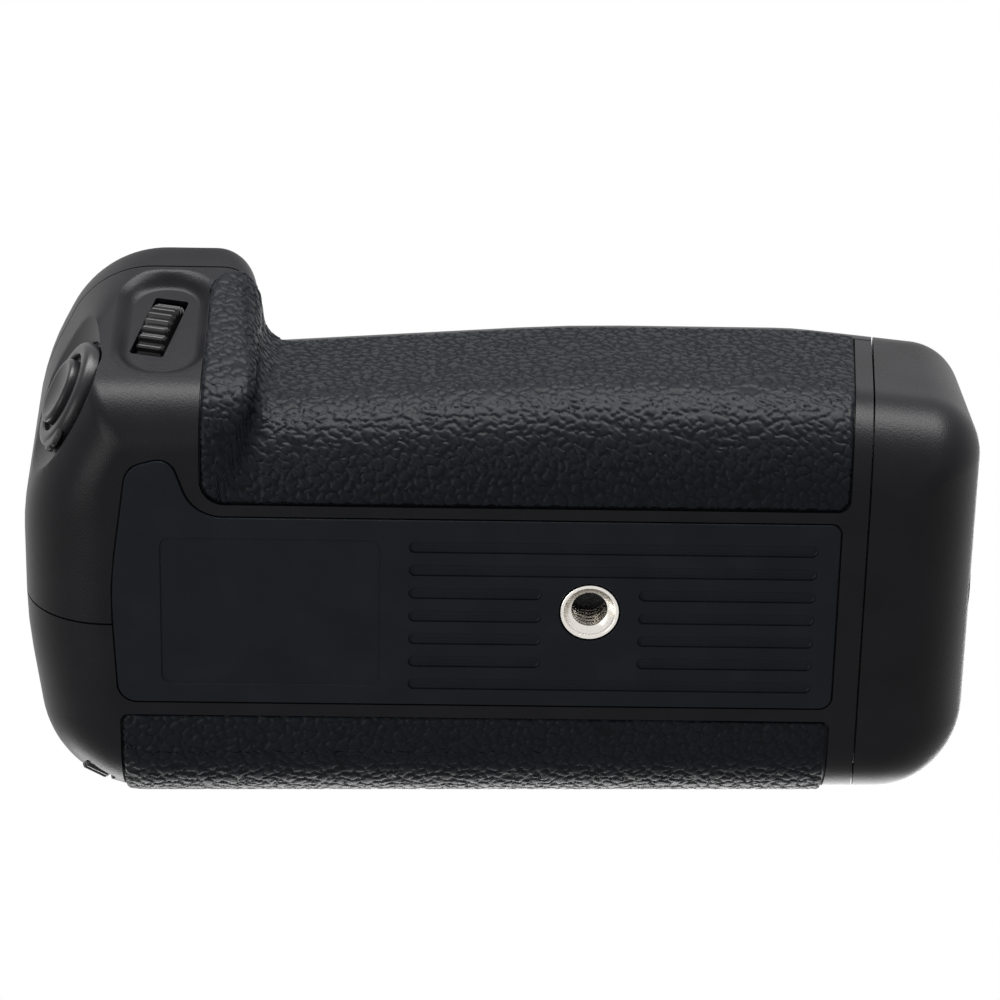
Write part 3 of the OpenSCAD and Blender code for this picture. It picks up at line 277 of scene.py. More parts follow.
def rounded(corners, step=6.0):
    """A closed outline from corners (x, y, radius)."""
    out = []
    n = len(corners)
    for i in range(n):
        p = np.array(corners[i][:2], float)
        radius = corners[i][2]
        if radius <= 0:
            out.append(p)
            continue
        u = np.array(corners[i - 1][:2], float) - p
        v = np.array(corners[(i + 1) % n][:2], float) - p
        a, b = math.atan2(u[1], u[0]), math.atan2(v[1], v[0])
        half = abs(a - b)
        half = (2 * math.pi - half if half > math.pi else half) / 2
        side = math.copysign(1, u[0] * v[1] - u[1] * v[0])
        mid = a + side * half
        centre = p + radius / math.sin(half) * np.array([math.cos(mid), math.sin(mid)])
        sweep = math.pi - 2 * half
        count = max(1, math.ceil(math.degrees(sweep) / step))
        for k in range(count + 1):
            t = mid + math.pi + side * sweep / 2 * (1 - 2 * k / count)
            out.append(centre + radius * np.array([math.cos(t), math.sin(t)]))
    return out


def circle(radius, count=64, x=0.0, y=0.0):
    return [(x + radius * cos(360 * k / count), y + radius * sin(360 * k / count)) for k in range(count)]


def clean(piece, distance=1e-5):
    """Merges points that lie on each other and makes the faces point outward."""
    bm = bmesh.new()
    bm.from_mesh(piece.data)
    bmesh.ops.remove_doubles(bm, verts=bm.verts, dist=distance * MM)
    bmesh.ops.dissolve_degenerate(bm, edges=bm.edges, dist=distance * MM)
    bmesh.ops.recalc_face_normals(bm, faces=bm.faces)
    bm.to_mesh(piece.data)
    bm.free()
    return piece


ON_AXIS = 1e-6


def hoops(profile, count):
    """A level circle for each (radius, height)."""
    return [lifted(circle(r, count), z) for r, z in profile]


def wrapped(name, rings, skip=()):
    """A closed solid through rings of equal length, the last of which meets the first."""
    m, n = len(rings), len(rings[0])
    faces = [(i * n + k, i * n + (k + 1) % n, (i + 1) % m * n + (k + 1) % n, (i + 1) % m * n + k)
             for i in range(m) if i not in skip for k in range(n)]
    return clean(solid(name, np.vstack(rings), faces))


def lathe(name, profile, count=96):
    """A solid of revolution about Z from a closed profile of (radius, height)."""
    m = len(profile)
    axis = [i for i in range(m) if max(profile[i][0], profile[(i + 1) % m][0]) <= ON_AXIS]
    return wrapped(name, hoops(profile, count), axis)


def turned(a, b, c):
    x, y, z = (Matrix.Rotation(math.radians(v), 4, axis) for v, axis in ((a, "X"), (b, "Y"), (c, "Z")))
    return z @ y @ x


def moved(x, y, z):
    return Matrix.Translation((x, y, z))


def placed(piece, *steps):
    """Moves the points of a piece by transforms in millimetres, the last step first."""
    whole = Matrix.Identity(4)
    for step in steps:
        whole = whole @ step
    whole.translation *= MM
    piece.data.transform(whole)
    return piece


def combine(piece, other, how="DIFFERENCE"):
    """Cuts, joins or intersects a piece with another one, which is used up."""
    change = piece.modifiers.new(how, "BOOLEAN")
    change.operation = how
    change.solver = "MANIFOLD"
    change.object = other
    made = bpy.data.meshes.new_from_object(piece.evaluated_get(bpy.context.evaluated_depsgraph_get()))
    made.name = piece.name
    piece.modifiers.clear()
    used = [piece.data, other.data]
    piece.data = made
    bpy.data.objects.remove(other)
    for mesh in used:
        bpy.data.meshes.remove(mesh)
    return piece


def cut(piece, *cutters):
    for cutter in cutters:
        combine(piece, cutter)
    return piece


def finished(piece, material, body, node, angle=32):
    """Shades a piece, gives it its material and puts it in the place of a CAD node."""
    piece.data.shade_smooth()
    piece.data.set_sharp_from_angle(angle=math.radians(angle))
    even = piece.modifiers.new("even", "WEIGHTED_NORMAL")
    even.keep_sharp = True
    piece.data.materials.clear()
    piece.data.materials.append(MATERIALS[material])
    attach(piece, body)
    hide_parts(node)
    return piece


# Materials
def shader(name):
    material = bpy.data.materials.new(name)
    material.use_nodes = True
    nodes = material.node_tree.nodes
    return material, nodes, material.node_tree.links, nodes["Principled BSDF"]


def noise(nodes, links, scale, detail=3.0, vector=None):
    place = nodes.new("ShaderNodeTexCoord")
    texture = nodes.new("ShaderNodeTexNoise")
    texture.inputs["Scale"].default_value = scale
    texture.inputs["Detail"].default_value = detail
    links.new(vector or place.outputs["Object"], texture.inputs["Vector"])
    return texture.outputs["Fac"]


def ramp(nodes, links, value, stops):
    out = nodes.new("ShaderNodeValToRGB")
    while len(out.color_ramp.elements) < len(stops):
        out.color_ramp.elements.new(0.5)
    for element, (position, colour) in zip(out.color_ramp.elements, stops):
        element.position = position
        element.color = (*colour, 1)
    links.new(value, out.inputs["Fac"])
    return out.outputs["Color"]


def span(nodes, links, value, low, high):
    out = nodes.new("ShaderNodeMapRange")
    out.inputs["To Min"].default_value = low
    out.inputs["To Max"].default_value = high
    links.new(value, out.inputs["Value"])
    return out.outputs["Result"]


def bump(nodes, links, height, depth):
    out = nodes.new("ShaderNodeBump")
    out.inputs["Distance"].default_value = depth * MM
    links.new(height, out.inputs["Height"])
    return out.outputs["Normal"]


def moulded(name, colour, roughness, specular, grain=0.3, depth=0.02, spread=0.18, metallic=0.0):
    """Plastic, paint or plate: colour and gloss that drift a little, and a fine grain."""
    material, nodes, links, surface = shader(name)
    drift = noise(nodes, links, 1 / (9 * MM), 4)
    low = [c * (1 - spread) for c in colour]
    high = [c * (1 + spread) for c in colour]
    links.new(ramp(nodes, links, drift, [(0.35, low), (0.65, high)]), surface.inputs["Base Color"])
    speck = noise(nodes, links, 1 / (grain * MM), 2)
    links.new(span(nodes, links, speck, roughness - 0.06, roughness + 0.06), surface.inputs["Roughness"])
    links.new(bump(nodes, links, speck, depth), surface.inputs["Normal"])
    surface.inputs["Metallic"].default_value = metallic
    surface.inputs["Specular IOR Level"].default_value = specular
    return material


def brushed(name, colour, roughness, stretch_to):
    """Metal with fine lines along one axis."""
    material, nodes, links, surface = shader(name)
    place = nodes.new("ShaderNodeTexCoord")
    scale = nodes.new("ShaderNodeMapping")
    scale.inputs["Scale"].default_value = stretch_to
    links.new(place.outputs["Object"], scale.inputs["Vector"])
    lines = noise(nodes, links, 1 / (0.25 * MM), 3, scale.outputs["Vector"])
    low = [c * 0.86 for c in colour]
    links.new(ramp(nodes, links, lines, [(0.3, low), (0.7, colour)]), surface.inputs["Base Color"])
    links.new(span(nodes, links, lines, roughness - 0.08, roughness + 0.08), surface.inputs["Roughness"])
    links.new(bump(nodes, links, lines, 0.006), surface.inputs["Normal"])
    surface.inputs["Metallic"].default_value = 1.0
    return material


def pebbled(name, crown, furrow_shade, roughness, specular):
    """Grip rubber: painted shade darkens the furrows between the pebbles, so the crowns are paler."""
    material, nodes, links, surface = shader(name)
    height = nodes.new("ShaderNodeAttribute")
    height.attribute_name = "pebble"
    drift = noise(nodes, links, 1 / (14 * MM), 3)
    mix = nodes.new("ShaderNodeMixRGB")
    mix.blend_type = "MULTIPLY"
    mix.inputs["Fac"].default_value = 0.35
    # Painted shade: the colour ramps from the pale crowns down to the darker furrow colour, by the pebble
    # height.
    links.new(ramp(nodes, links, height.outputs["Fac"], [(0.1, furrow_shade), (0.8, crown)]), mix.inputs["Color1"])
    links.new(drift, mix.inputs["Color2"])
    links.new(mix.outputs["Color"], surface.inputs["Base Color"])
    speck = noise(nodes, links, 1 / (0.12 * MM), 2)
    links.new(span(nodes, links, speck, roughness - 0.08, roughness + 0.08), surface.inputs["Roughness"])
    links.new(bump(nodes, links, speck, 0.02), surface.inputs["Normal"])
    surface.inputs["Specular IOR Level"].default_value = specular
    return material


MATERIALS = {
    "shell": moulded("shell", (0.0044, 0.0044, 0.0053), 0.36, 0.09, 0.3, 0.035),
    "base": moulded("base", (0.0042, 0.0054, 0.0076), 0.45, 0.08, 0.2, 0.012),
    # The rubber's second colour is painted shade for the furrows between the pebbles.
    "grip_rubber": pebbled("grip_rubber", (0.0042, 0.0050, 0.0070), (0.0024, 0.0028, 0.0040), 0.4, 0.07),
    "nickel": brushed("nickel", (0.78, 0.75, 0.70), 0.2, (1, 1, 14)),
    "steel": brushed("steel", (0.50, 0.50, 0.51), 0.35, (1, 12, 12)),
    "inner_plastic": moulded("inner_plastic", (0.018, 0.018, 0.02), 0.5, 0.3, 0.35, 0.02),
    "contact_metal": brushed("contact_metal", (0.80, 0.60, 0.24), 0.25, (8, 1, 8)),
    "board": moulded("board", (0.012, 0.075, 0.032), 0.35, 0.4, 0.6, 0.01),
    "switch": moulded("switch", (0.03, 0.03, 0.034), 0.5, 0.3, 0.3, 0.015),
    "control": moulded("control", (0.006, 0.006, 0.0068), 0.34, 0.2, 0.24, 0.015),
    "dial": moulded("dial", (0.005, 0.005, 0.0056), 0.36, 0.2, 0.2, 0.012),
}
SLOT_OF = {part["node"]: part["material_slot"] for part in frame["record"]["subparts"]}
for node_name, cad_piece in frame["nodes"].items():
    cad_piece.data.materials.clear()
    cad_piece.data.materials.append(MATERIALS[SLOT_OF[node_name]])

# Base plate and rubber
PLATE_T = 1.2
INLAY = 0.25
plate_x0 = x_left + 15.2
plate_x1 = x_cap - 4.05
plate_y0 = y_socket - 15.3
plate_y1 = y_socket + 16.25
tongue_y = plate_y0 - 9.6
PLATE = [
    (plate_x0 + 0.6, plate_y1, 3),
    (plate_x0 - 0.4, plate_y0 + 12, 60),
    (plate_x0 + 2.4, tongue_y + 1.5, 3.4),
    (plate_x0 + 9, tongue_y - 0.3, 2.8),
    (plate_x0 + 12.6, plate_y0, 6.5),
    (plate_x1, plate_y0, 1.5),
    (plate_x1, plate_y1, 2),
]
LABEL_DEPTH = 0.25
LABEL_R = 1.5
GROOVE_W = 1.9
GROOVE_DEPTH = 0.5
GROOVE_PITCH = 3.9
GROOVE_ROWS = 7
GROOVE_SHIFT = 0.9
SOCKET_CLEAR = 7.6
RIM_R = 4.6
label_x0 = plate_x0 + 7.4
label_x1 = socket_x - 32.9
label_y0 = plate_y0 + 3.5
label_y1 = plate_y1 - 3.2
groove_x0 = label_x1 + 4.5
groove_x1 = plate_x1 - 3.4

RUBBER_PROUD = 0.7
RUBBER_BACK = 0.9
RUBBER_CORNER = 8.0
RUBBER_R0 = 4.0
RUBBER_R1 = 2.0
rubber_x0 = x_left + 29
rubber_x1 = x_cap - 3
rubber_y1 = plate_y0 - 2.3
rear_rubber_x0 = plate_x0 + 0.9
rear_rubber_x1 = x_cap - 4.3
rear_rubber_y0 = plate_y1 + 2.6
REAR_RUBBER_H = 16.0
REAR_RUBBER_R = 1.3


def grown(outline, by):
    """An outline moved outward, or inward where by is negative."""
    p = np.asarray(outline, float)
    ahead, behind = np.roll(p, -1, 0) - p, p - np.roll(p, 1, 0)
    normal = np.column_stack([ahead[:, 1] + behind[:, 1], -ahead[:, 0] - behind[:, 0]])
    normal /= np.maximum(np.linalg.norm(normal, axis=1, keepdims=True), 1e-9)
    area = np.sum(p[:, 0] * np.roll(p[:, 1], -1) - p[:, 1] * np.roll(p[:, 0], -1))
    return p + normal * by * (1 if area > 0 else -1)


def anticlockwise(outline):
    p = np.asarray(outline, float)
    area = np.sum(p[:, 0] * np.roll(p[:, 1], -1) - p[:, 1] * np.roll(p[:, 0], -1))
    return p if area > 0 else p[::-1]


def stepped(name, outline, steps):
    """A solid on an outline that grows by so much at each height."""
    return tube(name, [lifted(grown(outline, by), z) for by, z in steps])


def plate_prism(name, gap, z0, z1):
    return prism(name, grown(anticlockwise(rounded(PLATE)), gap), z0, z1)


def groove_cutter(x0, x1, y):
    """A long trough with round ends and a rounded floor, open downward."""
    half = GROOVE_W / 2
    edge = 0.985 * half
    outline = anticlockwise(rounded([(x0, y - half, edge), (x1, y - half, edge), (x1, y + half, edge),
                                     (x0, y + half, edge)], 10))
    return stepped("groove", outline, [(0, -0.6), (0, 0), (-0.05, 0.3), (-0.14, 0.42), (-0.3, GROOVE_DEPTH)])


def base_plate():
    outline = anticlockwise(rounded(PLATE, 4))
    plate = stepped("base_plate_visual", outline, [(-0.22, 0), (-0.1, 0.04), (0, 0.2), (0, PLATE_T)])
    for row in range(GROOVE_ROWS):
        y = y_socket + GROOVE_SHIFT + (row - (GROOVE_ROWS - 1) / 2) * GROOVE_PITCH
        if 1 < row < GROOVE_ROWS - 1:
            cut(plate, groove_cutter(groove_x0, socket_x - SOCKET_CLEAR, y))
            cut(plate, groove_cutter(socket_x + SOCKET_CLEAR, groove_x1, y))
        else:
            cut(plate, groove_cutter(groove_x0, groove_x1, y))
    field = anticlockwise(rounded([(label_x0, label_y0, LABEL_R), (label_x1, label_y0, LABEL_R),
                                   (label_x1, label_y1, LABEL_R), (label_x0, label_y1, LABEL_R)]))
    cut(plate, stepped("field", field, [(0.1, -0.5), (0.1, 0), (-0.1, LABEL_DEPTH)]))
    hole = circle(RIM_R + INLAY, 96, socket_x, y_socket)
    cut(plate, stepped("hole", hole, [(0.2, -0.5), (0.2, 0), (0, 0.2), (0, 3)]))
    return finished(plate, "base", "housing", "base_plate", 25)


def zone_corner(x, y, radius, dir_x, dir_y, gap):
    corners = [(dir_x * x - gap, dir_y * y - gap, radius), (FAR, dir_y * y - gap, 1), (FAR, FAR, 1),
               (dir_x * x - gap, FAR, 1)]
    return anticlockwise([(p[0] * dir_x, p[1] * dir_y) for p in rounded(corners, 10)])


def front_zone(gap):
    top = z_lid - SEAM + gap
    zone = prism("front_zone", zone_corner(rubber_x0, rubber_y1, RUBBER_R0, 1, -1, gap), -1, top)
    lean = prism("lean", zone_corner(rubber_x1, rubber_y1, RUBBER_R1, -1, -1, gap), -1, body_h)
    for vertex in lean.data.vertices:
        vertex.co.x += CAP_LEAN * vertex.co.z
    upper = prism("upper", zone_corner(rubber_x0 - INLAY, z_lid, RUBBER_CORNER, 1, -1, gap), -FAR, FAR)
    combine(zone, lean, "INTERSECT")
    return combine(zone, placed(upper, turned(90, 0, 0)), "INTERSECT")


def rear_zone(gap):
    left = zone_corner(rear_rubber_x0, rear_rubber_y0, REAR_RUBBER_R, 1, 1, gap)
    right = zone_corner(rear_rubber_x1, rear_rubber_y0, REAR_RUBBER_R, -1, 1, gap)
    zone = prism("rear_zone", left, -1, REAR_RUBBER_H + gap)
    return combine(zone, prism("other", right, -2, REAR_RUBBER_H + 2), "INTERSECT")


# Pebbled rubber: a dense sheet over the housing's form, cut to the outline of the inlay
GRID = 0.26
PEBBLE = 1.75
PEBBLE_DEPTH = 0.2
EDGE_ROUND = 0.8
EDGE_SINK = 0.55
BACK_OVERLAP = 0.1
PAD_STEPS = 60
BAND_ARC_STEP = 1.5
BAND_LINE_STEPS = 40
GAUGE_Z = 20.0
rng = np.random.default_rng(7)


def near_two(u, v, seeds, size):
    """Distances from points to their nearest and second nearest seed on a jittered grid."""
    rows, cols = seeds.shape[:2]
    i, j = np.floor(u / size).astype(int), np.floor(v / size).astype(int)
    first, second = np.full(u.shape, 1e9), np.full(u.shape, 1e9)
    for di in range(-2, 3):
        for dj in range(-2, 3):
            a, b = np.clip(i + di + 3, 0, rows - 1), np.clip(j + dj + 3, 0, cols - 1)
            seed = seeds[a, b]
            d = np.hypot(u - seed[..., 0], v - seed[..., 1]) / seed[..., 2]
            second = np.minimum(second, np.maximum(first, d))
            first = np.minimum(first, d)
    return first, second


def pebbles(u, v):
    """Height from 0 in the furrows to 1 on the flat crowns of a leather-like grain."""
    rows, cols = int(u.max() / PEBBLE) + 8, int(v.max() / PEBBLE) + 8
    grid_u, grid_v = np.meshgrid(np.arange(rows) - 3, np.arange(cols) - 3, indexing="ij")
    seeds = np.stack([(grid_u + rng.uniform(0, 1, grid_u.shape)) * PEBBLE,
                      (grid_v + rng.uniform(0, 1, grid_v.shape)) * PEBBLE,
                      rng.uniform(0.75, 1.25, grid_u.shape)], axis=-1)
    warp_u = 0.22 * np.sin(v * 3.1 + 1.7 * np.sin(u * 1.3)) + 0.12 * np.sin(v * 7.3 + u * 2.2)
    warp_v = 0.22 * np.sin(u * 2.9 + 1.9 * np.sin(v * 1.1)) + 0.12 * np.sin(u * 6.7 - v * 2.5)
    first, second = near_two(u + warp_u, v + warp_v, seeds, PEBBLE)
    share = np.clip((second - first - 0.12) / 0.3, 0, 1)
    crown = share * share * (3 - 2 * share)
    return crown * (1 - 0.12 * np.clip(first / PEBBLE, 0, 1))


def along(points):
    steps = np.linalg.norm(np.diff(points, axis=0), axis=1)
    return np.concatenate([[0], np.cumsum(steps)])


def resampled(points, count):
    s = along(points)
    t = np.linspace(0, s[-1], count)
    return np.column_stack([np.interp(t, s, points[:, k]) for k in range(points.shape[1])])


def band(z, first_side, last_side, x0, x1):
    """The rubber's face at a height from one side to another, between two places along X."""
    arcs = arcs_at(z, -RUBBER_PROUD)
    line = []
    for i in range(first_side - 1, last_side + 1):
        k = i % len(SIDES)
        line += stretch(arcs, k, max(4, math.ceil(abs(turn_of(k)) / BAND_ARC_STEP)), BAND_LINE_STEPS)
    line = np.array(line)
    order = line if line[0, 0] < line[-1, 0] else line[::-1]
    keep = (order[:, 0] > x0) & (order[:, 0] < x1)
    return order[keep]


def pad_rows(first_side, last_side, x0, x1, y_edge, z_top):
    """Rows of points from the top of an inlay, down the wall and along the underside to its edge."""
    foot = [z_base + ROUND_H * (1 - cos(a)) for a in np.linspace(90, 0, PAD_STEPS)]
    heights = list(np.linspace(z_top, foot[0], PAD_STEPS, endpoint=False)) + foot
    length = along(band(GAUGE_Z, first_side, last_side, x0, x1))[-1]
    count = int(length / GRID)
    rows = []
    for z in heights:
        line = resampled(band(z, first_side, last_side, x0, x1), count)
        rows.append(np.column_stack([line, np.full(count, z)]))
    last = rows[-1]
    reach = np.abs(y_edge - last[:, 1]).max()
    for k in range(1, int(reach / GRID) + 1):
        share = k / int(reach / GRID)
        flat = last.copy()
        flat[:, 1] += (y_edge - last[:, 1]) * share
        rows.append(flat)
    rows = np.array(rows)
    depth = along(rows[:, count // 2])
    total = int(depth[-1] / GRID)
    even = np.empty((total, count, 3))
    for c in range(count):
        even[:, c] = resampled(rows[:, c], total)
    return even


def mark_pebbles(piece, points, height):
    """Writes the grain's height on a piece's points, and 0 away from its outer face."""
    tree = KDTree(len(points))
    for i, point in enumerate(points):
        tree.insert(point * MM, i)
    tree.balance()
    near = [tree.find(vertex.co) for vertex in piece.data.vertices]
    layer = piece.data.attributes.new("pebble", "FLOAT", "POINT")
    layer.data.foreach_set("value", [height[i] if far < GRID * MM else 0.0 for _, i, far in near])


def grip(name, node, zone, rows, edge_distance):
    """A rubber inlay: the pebbled sheet, a back and rims, cut by the inlay's zone."""
    n_v, n_u = rows.shape[:2]
    du, dv = np.gradient(rows, axis=1), np.gradient(rows, axis=0)
    normal = np.cross(du, dv)
    normal /= np.maximum(np.linalg.norm(normal, axis=2, keepdims=True), 1e-9)
    middle = (n_v // 2, n_u // 2)
    outward = rows[middle] - np.array([0, y_socket, body_h / 2])
    normal *= np.sign(normal[middle] @ outward)
    u = np.concatenate([np.zeros((n_v, 1)), np.cumsum(np.linalg.norm(np.diff(rows, axis=1), axis=2), 1)], 1)
    v = np.concatenate([np.zeros((1, n_u)), np.cumsum(np.linalg.norm(np.diff(rows, axis=0), axis=2), 0)], 0)
    height = pebbles(u, v)
    near = np.clip(1 - edge_distance(rows) / EDGE_ROUND, 0, 1)
    sink = PEBBLE_DEPTH * (1 - height) + EDGE_SINK * (1 - np.sqrt(np.maximum(0, 1 - near * near)))
    front = rows - normal * sink[..., None]
    back = rows - normal * (RUBBER_PROUD + RUBBER_BACK - BACK_OVERLAP)
    points = np.vstack([front.reshape(-1, 3), back.reshape(-1, 3)])
    n = n_v * n_u
    quad = [(r * n_u + c, r * n_u + c + 1, (r + 1) * n_u + c + 1, (r + 1) * n_u + c)
            for r in range(n_v - 1) for c in range(n_u - 1)]
    faces = quad + [tuple(n + k for k in reversed(q)) for q in quad]
    border = list(range(n_u)) + [r * n_u + n_u - 1 for r in range(1, n_v)]
    border += [(n_v - 1) * n_u + c for c in range(n_u - 2, -1, -1)]
    border += [r * n_u for r in range(n_v - 2, 0, -1)]
    faces += [(a, n + a, n + b, b) for a, b in zip(border, border[1:] + border[:1])]
    piece = solid(name, points, faces)
    clean(piece, 1e-6)
    combine(piece, zone, "INTERSECT")
    mark_pebbles(piece, front.reshape(-1, 3), height.reshape(-1))
    return finished(piece, "grip_rubber", "housing", node, 50)


def from_corner(dx, dy, radius):
    """Distance to the nearer of two edges that meet in a rounded corner."""
    inner = radius - np.hypot(np.maximum(radius - dx, 0), np.maximum(radius - dy, 0))
    return np.where((dx < radius) & (dy < radius), inner, np.minimum(dx, dy))


def front_edges(p):
    left = from_corner(p[..., 0] - rubber_x0, rubber_y1 - p[..., 1], RUBBER_R0)
    right = from_corner(rubber_x1 + CAP_LEAN * p[..., 2] - p[..., 0], rubber_y1 - p[..., 1], RUBBER_R1)
    upper = from_corner(p[..., 0] - rubber_x0 + INLAY, z_lid - p[..., 2], RUBBER_CORNER)
    return np.minimum(np.minimum(np.minimum(left, right), upper), z_lid - SEAM - p[..., 2])


def rear_edges(p):
    left = from_corner(p[..., 0] - rear_rubber_x0, p[..., 1] - rear_rubber_y0, REAR_RUBBER_R)
    right = from_corner(rear_rubber_x1 - p[..., 0], p[..., 1] - rear_rubber_y0, REAR_RUBBER_R)
    return np.minimum(np.minimum(left, right), REAR_RUBBER_H - p[..., 2])


def grip_rubbers():
    rows = pad_rows(REST_SIDE, SHOULDER_SIDE, rubber_x0 - 1, rubber_x1 + 6, rubber_y1 + 1, z_lid + 0.2)
    grip("front_grip_rubber_visual", "front_grip_rubber", front_zone(0), rows, front_edges)
    rows = pad_rows(REAR_SIDE, REAR_SIDE, rear_rubber_x0 - 1, rear_rubber_x1 + 1, rear_rubber_y0 - 1,
                    REAR_RUBBER_H + 0.8)
    grip("rear_grip_rubber_visual", "rear_grip_rubber", rear_zone(0), rows, rear_edges)


# Places of the controls
REST_ANGLE = math.degrees(math.atan(REST_LEAN))
FACE_TILT = 90 + math.degrees(math.atan(FACE_LEAN))
SCOOP_DEPTH = 1.9
SCOOP_W = 14.0
SCOOP_H = 28.8
SCOOP_DROP = 0.8
DIAL_W = 4.4
DIAL_LEAN = 12.0
DIAL_PROUD = 2.1
SLOT_GAP = 0.55
SLOT_LIP = 0.8
FRONT_DIAL_R = 10.5
REAR_DIAL_R = 7.8
REAR_DIAL_PROUD = 1.1
REAR_DIAL_Z = 13.0
REAR_DIAL_TURN = 118.0
DIAL_AXLE_R = 1.5
RUN_GAP = 0.05
MOVE_GAP = 0.4
lip_proud = DIAL_PROUD + SLOT_LIP
front_slot_h = 2 * math.sqrt(lip_proud * (2 * FRONT_DIAL_R - lip_proud))
front_dial_x = x_left + 21.2
front_dial_z = 24.0
rest_y = y_front + REST_LEAN * (body_h - front_dial_z)
rear_side, left_side = SIDES[REAR_SIDE], SIDES[LEFT_SIDE]
rear_corner_r = rear_side.radius
rear_corner = meet(rear_side.angle, rear_side.out - rear_corner_r,
                   left_side.angle, left_side.out - rear_corner_r)
SHUTTER_R = 5.4
LOCK_R = 8.9
DISH_R = LOCK_R + MOVE_GAP
PAD_R = DISH_R + 2.2
HOLLOW_R = 56.0
HOLLOW_DEPTH = 2.1
SHUTTER_Z = 16.0
SHUTTER_ALONG = -9.6
SHUTTER_SINK = 1.9
FUNCTION_R = 3.0
FOCUS_R = 3.6
SLEEVE_T = 1.0
FLANGE_W = 0.8
BUTTON_DISH = 1.2
LATCH_R = 9.5
LATCH_RECESS = 4.4
latch_z = 20.65
function_y = y_socket - 7
function_z = z_lid - 10
focus_z = z_lid - 8
selector_z = z_lid - 13.5


def rear_y(x):
    return y_rear - x * math.tan(math.radians(REAR_TURN))


def at_scoop(depth):
    return moved(front_dial_x, rest_y, front_dial_z) @ turned(90 + REST_ANGLE, 0, 0) @ moved(0, 0, -depth)


def at_front_dial(depth):
    return at_scoop(depth) @ turned(0, 0, -DIAL_LEAN)


def at_rear_corner(depth):
    turn = moved(rear_corner[0], rear_corner[1], REAR_DIAL_Z) @ turned(0, 0, REAR_DIAL_TURN)
    return turn @ moved(rear_corner_r - depth, 0, 0) @ turned(90, 0, 90)


def at_shutter():
    d = face_out - FACE_LEAN * (body_h - SHUTTER_Z) - SHUTTER_SINK
    x = d * cos(FACE_TURN) - SHUTTER_ALONG * sin(FACE_TURN)
    y = d * sin(FACE_TURN) + SHUTTER_ALONG * cos(FACE_TURN)
    return moved(x, y, SHUTTER_Z) @ turned(0, FACE_TILT, FACE_TURN)


def at_function():
    return moved(x_left + BUTTON_DISH, function_y, function_z) @ turned(0, -90, 0)


def at_rear(x, z):
    return moved(x, rear_y(x), z) @ turned(-90, 0, -REAR_TURN)


def at_latch(x):
    return moved(x, y_socket, latch_z) @ turned(0, 90, 0) @ turned(0, 0, 180)


def rod(radius, z0, z1, end_radius=None, count=64):
    end = radius if end_radius is None else end_radius
    return tube("rod", [lifted(circle(radius, count), z0), lifted(circle(end, count), z1)])


def beyond_joint(x):
    return placed(block("beyond", (0, -FAR, -FAR), (FAR, FAR, FAR)), moved(x, 0, 0),
                  turned(0, math.degrees(math.atan(CAP_LEAN)), 0))


def box_outline(width, height, radius):
    w, h = width / 2, height / 2
    return rounded([(-w, -h, radius), (w, -h, radius), (w, h, radius), (-w, h, radius)], 6)


SCOOP_SOFT = 3.4
SCOOP_STEPS = 14
SCOOP_SPREAD = 2.6
SCOOP_R = 6.5


def scoop():
    """A finger-sized hollow whose border and floor run out softly."""
    steps = [(0.0, -3.0)]
    for k in range(SCOOP_STEPS + 1):
        share = k / SCOOP_STEPS
        steps.append((SCOOP_SOFT * share, SCOOP_DEPTH * (1 - cos(180 * share)) / 2 - 0.01))
    rings = []
    for inset, depth in steps:
        width, height = SCOOP_W + SCOOP_SPREAD - 2 * inset, SCOOP_H - 2 * inset
        rings.append(lifted(box_outline(width, height, min(SCOOP_R, width / 2 - 0.3)), -depth))
    return placed(tube("scoop", rings[::-1]), at_scoop(0), moved(SCOOP_SPREAD / 3, -SCOOP_DROP, 0))


def dial_slot(height, depth, out):
    outline = box_outline(DIAL_W + 2 * SLOT_GAP, height + 2 * SLOT_GAP, SLOT_GAP)
    return prism("slot", outline, -depth, out)


def shutter_hollow():
    """A wide shallow hollow in the slanted face and the round dish that holds the lock ring."""
    centre = SHUTTER_SINK - HOLLOW_DEPTH + HOLLOW_R
    bowl = [(HOLLOW_R * sin(a), centre - HOLLOW_R * cos(a)) for a in np.linspace(0, 40, 33)]
    bowl.append((0, bowl[-1][1]))
    dish = [(0, 0), (DISH_R - 0.2, 0), (DISH_R, 0.2), (DISH_R, 0.3), (DISH_R + 0.1, 0.55),
            (DISH_R + 0.4, 0.8), (DISH_R + 0.4, 3), (0, 3)]
    return combine(lathe("bowl", bowl, 144), lathe("dish", dish, 144), "UNION")


def sleeve_hole(radius):
    hole = rod(radius + RUN_GAP + SLEEVE_T + PRESS, -20, 10)
    return combine(hole, rod(radius + RUN_GAP + SLEEVE_T + FLANGE_W + INLAY, -WALL - 10, -WALL), "UNION")


def pocket(zone):
    return combine(zone, housing_form("back", RUBBER_BACK, RUBBER_BACK))


def shell_blank(name, y0, y1, zone):
    shell = housing_form(name)
    combine(shell, block("half", (-FAR, y0, -FAR), (FAR, y1, z_lid - SEAM)), "INTERSECT")
    hole = placed(rod(RIM_R + PRESS, -1, 9), moved(socket_x, y_socket, 0))
    return cut(shell, beyond_joint(x_cap), plate_prism("seat", INLAY, -1, PLATE_T), pocket(zone), hole)


